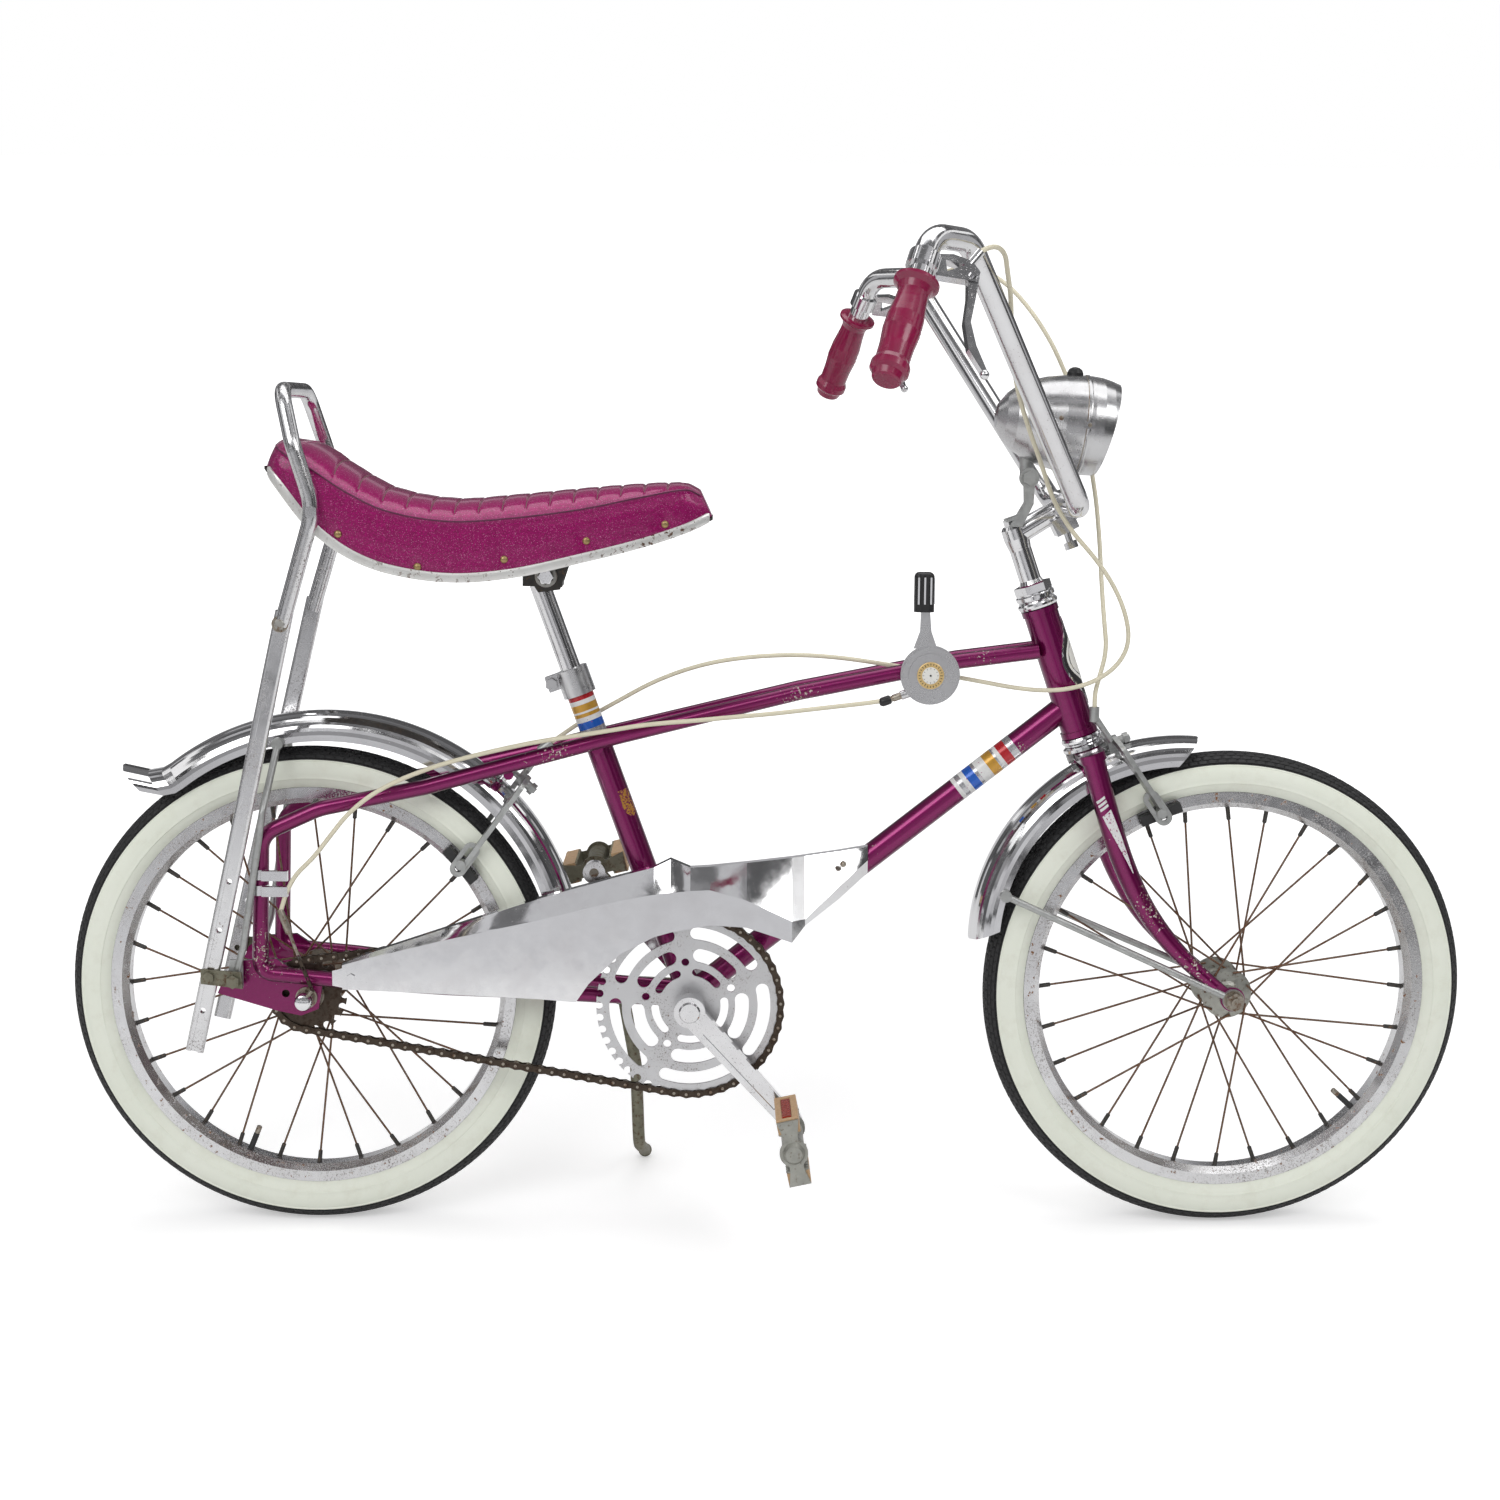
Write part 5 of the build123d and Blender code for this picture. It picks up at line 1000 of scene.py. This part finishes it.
# Worn gold shield on the seat tube, left bare
g_d = -SEAT_DIR
SEAT_TUBE = Vector((324.0, 0, 444.6)), g_d, Vector((-g_d.z, 0, g_d.x))
SHIELD = [(-14, -6.0, -14, 4.0), (-11, -5.0, -12, 6.2), (-2, -5.6, -2, 5.0), (2, -6.4, 2, 6.2),
          (10, -5.0, 10, 5.4), (15, -0.8, 15, 1.6)]
printed("seat_tube_shield", SEAT_TUBE, SHIELD, "main_frame", "old_gold", "frame")


# Head badge: an almond plate bent round the front of the head tube
def badge_sheet(s, look, low, high, wide, r_in, r_out, power=1.7):
    rows, cols = 26, 18
    outer, inner = [], []
    mid, half = (low + high) / 2, (high - low) / 2
    for j in range(rows + 1):
        u = -1 + 2 * j / rows
        w = radians(wide) * max(0.02, (1 - abs(u) ** power))
        for i in range(cols + 1):
            t = -1 + 2 * i / cols
            a = w * t
            for lst, r in ((outer, r_out), (inner, r_in)):
                lst.append(at_axis(mid + half * u) + FW * (r * cos(a)) + Vector((0, -r * sin(a), 0)))
    s.add(outer + inner, sheet_faces(rows, cols), look)


badge = Shape()
badge_sheet(badge, 0, -60, 34, 80, 17.6, 18.5)
badge_sheet(badge, 1, -57, 31, 73, 18.3, 18.75)
badge_sheet(badge, 2, -38, 16, 62, 18.6, 19.0, 2.2)
badge_sheet(badge, 0, -34, 12, 54, 18.8, 19.15, 2.4)
badge_sheet(badge, 2, -32, 10, 50, 18.9, 19.3, 2.4)
badge.make("head_badge", ["chrome", "black_print", "dial_white"], "frame", sharp=45)

# Dial of the stick shifter, with plain marks
DIAL = Vector((630, -41.6, 580.7))
DIAL_PLATE = [(0, 0), (13.7, 0), (13.7, 0.9), (13.0, 1.2), (0, 1.2)]
DIAL_DISC = [(0, 0.5), (8.6, 0.5), (8.6, 1.1), (8.3, 1.25), (0, 1.25)]
dial = Shape()
dial.turn(DIAL - OUT * 0.4, OUT, DIAL_PLATE, 48, 0)
dial.turn(DIAL, OUT, DIAL_DISC, 40, 1)
dial.turn(DIAL, OUT, [(0, 1), (1.0, 1), (1.0, 1.7), (0, 1.7)], 12, 2)
for k in range(24):
    a = 2 * pi * k / 24
    u = Vector((cos(a), 0, sin(a)))
    w = Vector((-sin(a), 0, cos(a)))
    if k % 2 == 0:
        dial.add(*prism(rectangle(6.6, 7.9, -0.22, 0.22), DIAL + OUT * 1.1, u, w, OUT * 0.3), 2)
    inner = 9.6 if k % 8 == 0 else 10.4
    dial.add(*prism(rectangle(inner, 12.3, -0.3, 0.3), DIAL + OUT * 0.7, u, w, OUT * 0.25), 2)
dial.make("dial_face", ["dial_gold", "dial_white", "black_print"], "frame", smooth=False)

# Ribs on the shifter's knob
knob_x, knob_z = 630 - 7.5, 580.7 + 84
ribs = Shape()
for dx in (-6.2, 0.0, 6.2):
    at = (knob_x + dx, -44.6, knob_z)
    ribs.add(*prism(rectangle(-0.9, 0.9, -12, 15), at, (1, 0, 0), (0, 0, 1), OUT))
for dy in (-4.5, 4.5):
    at = (knob_x + 9.6, -36 + dy, knob_z)
    ribs.add(*prism(rectangle(-0.9, 0.9, -12, 14), at, (0, 1, 0), (0, 0, 1), (1, 0, 0)))
ribs.make("knob_ribs", "chrome", "frame")

# Boot and adjuster where the gear cable leaves the shifter
ADJUSTER = [(0, 0), (3.6, 0), (3.6, 9), (2.9, 10), (2.9, 12), (0, 12)]
BOOT = [(0, 0), (4.0, 0), (4.7, 1.2), (4.7, 9), (3.6, 11), (2.6, 12), (0, 12)]
boots = Shape()
sh_end = Vector((601, -33, 559.2))
sh_dir = Vector((-13, -1, -4.5)).normalized()
boots.turn(sh_end - sh_dir * 1, sh_dir, ADJUSTER, 18, 1)
boots.turn(sh_end + sh_dir * 11, sh_dir, BOOT, 18, 0)
boots.make("gear_cable_boot", ["black", "nut"], "frame")

# Lamp: parting line, spring clip and screws
LAMP_C = Vector((787, 0, 831))
tilt = radians(-6)
LAMP_D = Vector((cos(tilt), 0, sin(tilt)))
LAMP_UP = Vector((-sin(tilt), 0, cos(tilt)))
LAMP_BEAD = [(49.2, -7.2), (50.4, -7.2), (50.8, -6.2), (50.8, -4.6), (50.4, -3.6), (49.2, -3.6)]
lamp = Shape()
lamp.add(*lathe(LAMP_C, LAMP_D, LAMP_BEAD, 64), 0)
lamp.add(*lathe(LAMP_C, LAMP_D, [(49.4, -8.4), (50.0, -8.4), (50.0, -7.6), (49.4, -7.6)], 64), 1)
for sg in (1, -1):
    side = Vector((0, sg, 0))
    o = LAMP_C + LAMP_D * -5.4 + side * 50.0
    lamp.add(*prism(rectangle(-5, 5, -3.4, 3.4), o, LAMP_D, LAMP_UP, side * 1.6), 0)
    lamp.turn(o + side * 1.4, side, [(0, 0), (2.2, 0), (2.0, 0.9), (0, 1.3)], 14, 1)
    o = LAMP_C + LAMP_D * -34 + LAMP_UP * 4 + side * 46.0
    lamp.turn(o, side, [(0, 0), (2.4, 0), (2.3, 1.6), (0, 2.2)], 14, 1)
lamp.make("lamp_trim", ["lamp_chrome", "nut"], "steering", sharp=40)

# Toggle chain from the gear cable to the hub
toggle = Shape()
t0, t1 = Vector((-20, -73.5, 336)), Vector((10, -82.5, 262))
t_dir = (t1 - t0).normalized()
TOGGLE_BARREL = [(0, 0), (3.4, 0), (3.6, 1), (3.6, 24), (2.6, 26), (0, 26)]
HUB_NUT = [(0, 0), (8.5, 0), (8.8, 1.0), (8.8, 9), (7.6, 12), (4.5, 13.5), (0, 13.8)]
toggle.turn(t0 - t_dir * 8, t_dir, TOGGLE_BARREL, 16, 0)
toggle.turn(t0 + t_dir * 17, t_dir, pin(1.7, 24), 12, 0)
run = (t1 - t0).length - 42
n_links = 7
half_l, half_w = run / n_links * 0.62, 1.7
for k in range(n_links):
    c = t0 + t_dir * (42 + run * (k + 0.5) / n_links)
    side = Vector((0, 1, 0)) if k % 2 else t_dir.cross(Vector((0, 1, 0))).normalized()
    wide = t_dir.cross(side).normalized()
    for sg in (1, -1):
        link = rectangle(-half_l, half_l, -half_w, half_w)
        toggle.add(*prism(link, c + side * sg * 0.9, t_dir, wide, side * sg * 0.6), 1)
toggle.turn((0, -73, 250), OUT, HUB_NUT, 28, 2)
toggle.turn((4, -80.5, 256), Vector((0.6, -0.2, 0.78)), pin(2.2, 9), 12, 0)
toggle.make("toggle_chain", ["nut", "chain", "chrome"], "frame")

# Screws on the chain guard and a washer behind each
screws = Shape()
for x, y, z, r in ((544.9, -34.5, 385.6, 2.0), (48.2, -46.2, 278.4, 2.6)):
    head = [(0, 0), (r + 1.4, 0), (r + 1.4, 1.0), (r, 1.3), (r, 2.6), (r - 1, 3.2), (0, 3.5)]
    screws.turn((x, y + 1, z), OUT, head, 20)
screws.make("guard_screws", "nut", "frame")

# Pedal reflectors
CRANK_END = {"right": Vector((492.7, 0, 124.8)), "left": Vector((285.3, 0, 355.2))}
PEDAL_TURN = {"right": -78.0, "left": 14.0}
for side, sg in (("right", -1), ("left", 1)):
    e = CRANK_END[side]
    turn = Matrix.Rotation(radians(PEDAL_TURN[side]), 3, Vector((0, -1, 0)))
    u, w = turn @ Vector((1, 0, 0)), turn @ Vector((0, 0, 1))
    refl = Shape()
    for h in (1, -1):
        o = e + Vector((0, sg * 104, 0)) + u * (h * 32.2)
        refl.add(*prism(rectangle(0, 58 * sg, -4.4, 4.4), o, (0, 1, 0), w, u * (h * 2.1)))
    refl.make("pedal_reflectors_" + side, "red" if side == "right" else "cream", "pedal_" + side)


# Bolts and washers of the sissy bar and of the seat clamp
SISSY_BOLT = Vector((SEAT_TOP.x - 251, 92.4, SEAT_TOP.z - 24))
CLAMP_BOLT = Vector((SEAT_TOP.x + 4, 18.2, SEAT_TOP.z + 19.5))
sissy_bolts = Shape()
clamp_bolts = Shape()
for shape, o, washer, thick, head, tall in ((sissy_bolts, SISSY_BOLT, 8.2, 1.2, 5.6, 3.6),
                                            (clamp_bolts, CLAMP_BOLT, 11.3, 2.2, 8.4, 6.2)):
    for sg in (1, -1):
        at = Vector((o.x, sg * o.y, o.z))
        out = Vector((0, sg, 0))
        edge = [(washer, -1.5), (washer, thick - 0.4), (washer - 0.4, thick)]
        shape.turn(at, out, [(0, -1.5)] + edge + [(0, thick)], 32, 0)
        shape.add(*hexagon(at + out * (thick - 0.2), out, head, tall), 1)
sissy_bolts.make("sissy_bar_bolts", ["nut", "steel"], "frame")
clamp_bolts.make("seat_clamp_bolts", ["steel", "chrome"], "frame")


# Camera at the photograph's place and angle
CAM_AT = Vector((412.01, -2371.56, 839.73))
YAW, DIP, ROLL = radians(0.9), radians(8.2), radians(0.47)
FOCAL_PX, PHOTO_PX, SENSOR = 2328.54, 1500, 36.0
fwd = Vector((sin(YAW) * cos(DIP), cos(YAW) * cos(DIP), -sin(DIP)))
right = Vector((cos(YAW), -sin(YAW), 0))
up = right.cross(fwd)
right, up = right * cos(ROLL) + up * sin(ROLL), up * cos(ROLL) - right * sin(ROLL)
turned = LEAN_R.to_3x3()
basis = Matrix((turned @ right, turned @ up, turned @ -fwd)).transposed()
cam_data = bpy.data.cameras.new("camera")
cam_data.sensor_fit = "HORIZONTAL"
cam_data.sensor_width = SENSOR
cam_data.lens = FOCAL_PX / PHOTO_PX * SENSOR
cam_data.clip_end = 60
camera = placed("camera", cam_data)
camera.matrix_world = Matrix.Translation(TO_FRAME @ CAM_AT) @ basis.to_4x4()
bpy.context.scene.camera = camera


# Floor and backdrop: one pale sheet that is white to the camera and still holds shadows
def seen_directly(tree):
    path = tree.nodes.new("ShaderNodeLightPath").outputs
    seen = path["Is Camera Ray"]
    for name in ("Is Glossy Ray", "Is Transmission Ray"):
        seen = joined(tree, "ShaderNodeMath", seen, path[name], operation="MAXIMUM")
    return seen


WHITE = (1, 1, 1, 1)
GLOSSY_SHARE = 0.12
floor_mat = bpy.data.materials.new("pale_floor")
tree = new_tree(floor_mat)
place = tree.nodes.new("ShaderNodeTexCoord").outputs["Object"]
away = joined(tree, "ShaderNodeVectorMath", place, out="Value", operation="LENGTH")
glow = joined(tree, "ShaderNodeMapRange", away, 0.8, 3.2, 0.40, 1.0)
glossy = tree.nodes.new("ShaderNodeLightPath").outputs["Is Glossy Ray"]
less = joined(tree, "ShaderNodeMapRange", glossy, 0.0, 1.0, 1.0, GLOSSY_SHARE)
share = joined(tree, "ShaderNodeMath", glow, less, operation="MULTIPLY")
diffuse = joined(tree, "ShaderNodeBsdfDiffuse", (0.86, 0.86, 0.865, 1))
both = joined(tree, "ShaderNodeAddShader", diffuse, joined(tree, "ShaderNodeEmission", WHITE, share))
mix = joined(tree, "ShaderNodeMixShader", seen_directly(tree), diffuse, both)
joined(tree, "ShaderNodeOutputMaterial", mix)
bpy.ops.mesh.primitive_plane_add(size=60, location=(0, 0, 0))
floor = bpy.context.object
floor.name = "floor"
floor.data.materials.append(floor_mat)

# World: white where it is seen, a plain level as light, and darker studio walls in the metal
world = bpy.data.worlds.new("studio")
bpy.context.scene.world = world
tree = new_tree(world)
level_light = joined(tree, "ShaderNodeBackground", WHITE, 0.42)
backdrop = joined(tree, "ShaderNodeBackground", WHITE, 1.0)
mix = joined(tree, "ShaderNodeMixShader", seen_directly(tree), level_light, backdrop)
joined(tree, "ShaderNodeOutputWorld", mix)


def lamp_at(name, place, aim, size, power):
    data = bpy.data.lights.new(name, "AREA")
    data.shape = "RECTANGLE"
    data.size, data.size_y = size
    data.energy = power
    ob = placed(name, data)
    ob.location = place
    ob.rotation_euler = (Vector(aim) - Vector(place)).to_track_quat("-Z", "Y").to_euler()


lamp_at("key_softbox", (-1.6, -2.6, 2.9), (0, 0, 0.5), (2.6, 2.0), 46)
lamp_at("fill_softbox", (2.2, -2.1, 3.0), (0.1, 0, 0.5), (2.0, 1.2), 26)
lamp_at("top_softbox", (0.2, 0.7, 3.2), (0, 0, 0.4), (3.6, 2.0), 34)


# Grey studio walls that only metal and gloss see, as dark shapes in the chrome
def grey_wall(name, level, corners):
    mat = bpy.data.materials.new(name)
    tree = new_tree(mat)
    light = joined(tree, "ShaderNodeEmission", (level, level, level * 1.03, 1))
    joined(tree, "ShaderNodeOutputMaterial", light)
    mesh = bpy.data.meshes.new(name)
    mesh.from_pydata(corners, [], [(0, 1, 2, 3)])
    mesh.materials.append(mat)
    ob = placed(name, mesh)
    ob.visible_camera = False
    ob.visible_shadow = False
    ob.visible_diffuse = False
    ob.visible_transmission = False


def upright(x0, y0, x1, y1, z0, z1):
    return [(x0, y0, z0), (x1, y1, z0), (x1, y1, z1), (x0, y0, z1)]


# Each wall is a table of strips: where it starts, where it ends, how bright it is
FRONT_Y, BACK_Y, SIDE_X, CEILING_Z = -2.95, 4.0, 4.4, 3.9
FRONT_WALL_END = 1.3
FRONT_WALL = [(0.0, 0.30, 0.62), (0.30, 0.42, 0.06), (0.42, 0.70, 0.50), (0.70, 1.02, 0.62),
              (1.02, 1.12, 0.04), (1.12, 1.7, 0.30), (1.7, 2.2, 0.05), (2.2, 3.3, 0.50)]
LEFT_WALL = [(FRONT_Y, -1.6, 0.10), (-1.6, -0.9, 0.62), (-0.9, 0.5, 0.08), (0.5, 1.6, 0.45),
             (1.6, BACK_Y, 0.10)]
RIGHT_WALL = [(FRONT_Y, 0.5, 0.08), (0.5, 1.6, 0.45), (1.6, BACK_Y, 0.10)]
BACK_WALL = [(0.0, 0.5, 0.55), (0.5, 1.4, 0.07), (1.4, 1.9, 0.45), (1.9, 4.0, 0.16)]
CEILING = [(FRONT_Y, -1.9, 0.10), (-1.9, -1.3, 0.55), (-1.3, -0.5, 0.16), (-0.5, -0.1, 0.62),
           (-0.1, 1.4, 0.12), (1.4, 1.9, 0.50), (1.9, BACK_Y, 0.10)]
for k, (z0, z1, level) in enumerate(FRONT_WALL):
    grey_wall(f"front_wall_{k}", level, upright(-SIDE_X, FRONT_Y, FRONT_WALL_END, FRONT_Y, z0, z1))
grey_wall("front_wall_right", 0.06, upright(FRONT_WALL_END, FRONT_Y, 3.9, FRONT_Y, 0.0, 3.3))
grey_wall("front_wall_corner", 0.5, upright(3.9, FRONT_Y, SIDE_X, FRONT_Y, 0.0, 3.3))
for side, x, table in (("left", -SIDE_X, LEFT_WALL), ("right", SIDE_X, RIGHT_WALL)):
    for k, (y0, y1, level) in enumerate(table):
        grey_wall(f"{side}_wall_{k}", level, upright(x, y0, x, y1, 0.0, 2.9))
for k, (z0, z1, level) in enumerate(BACK_WALL):
    grey_wall(f"back_wall_{k}", level, upright(-SIDE_X, BACK_Y, SIDE_X, BACK_Y, z0, z1))
for k, (y0, y1, level) in enumerate(CEILING):
    corners = [(x, y, CEILING_Z) for x, y in ((-SIDE_X, y0), (SIDE_X, y0), (SIDE_X, y1), (-SIDE_X, y1))]
    grey_wall(f"ceiling_{k}", level, corners)

scene = bpy.context.scene
scene.view_settings.view_transform = "Standard"
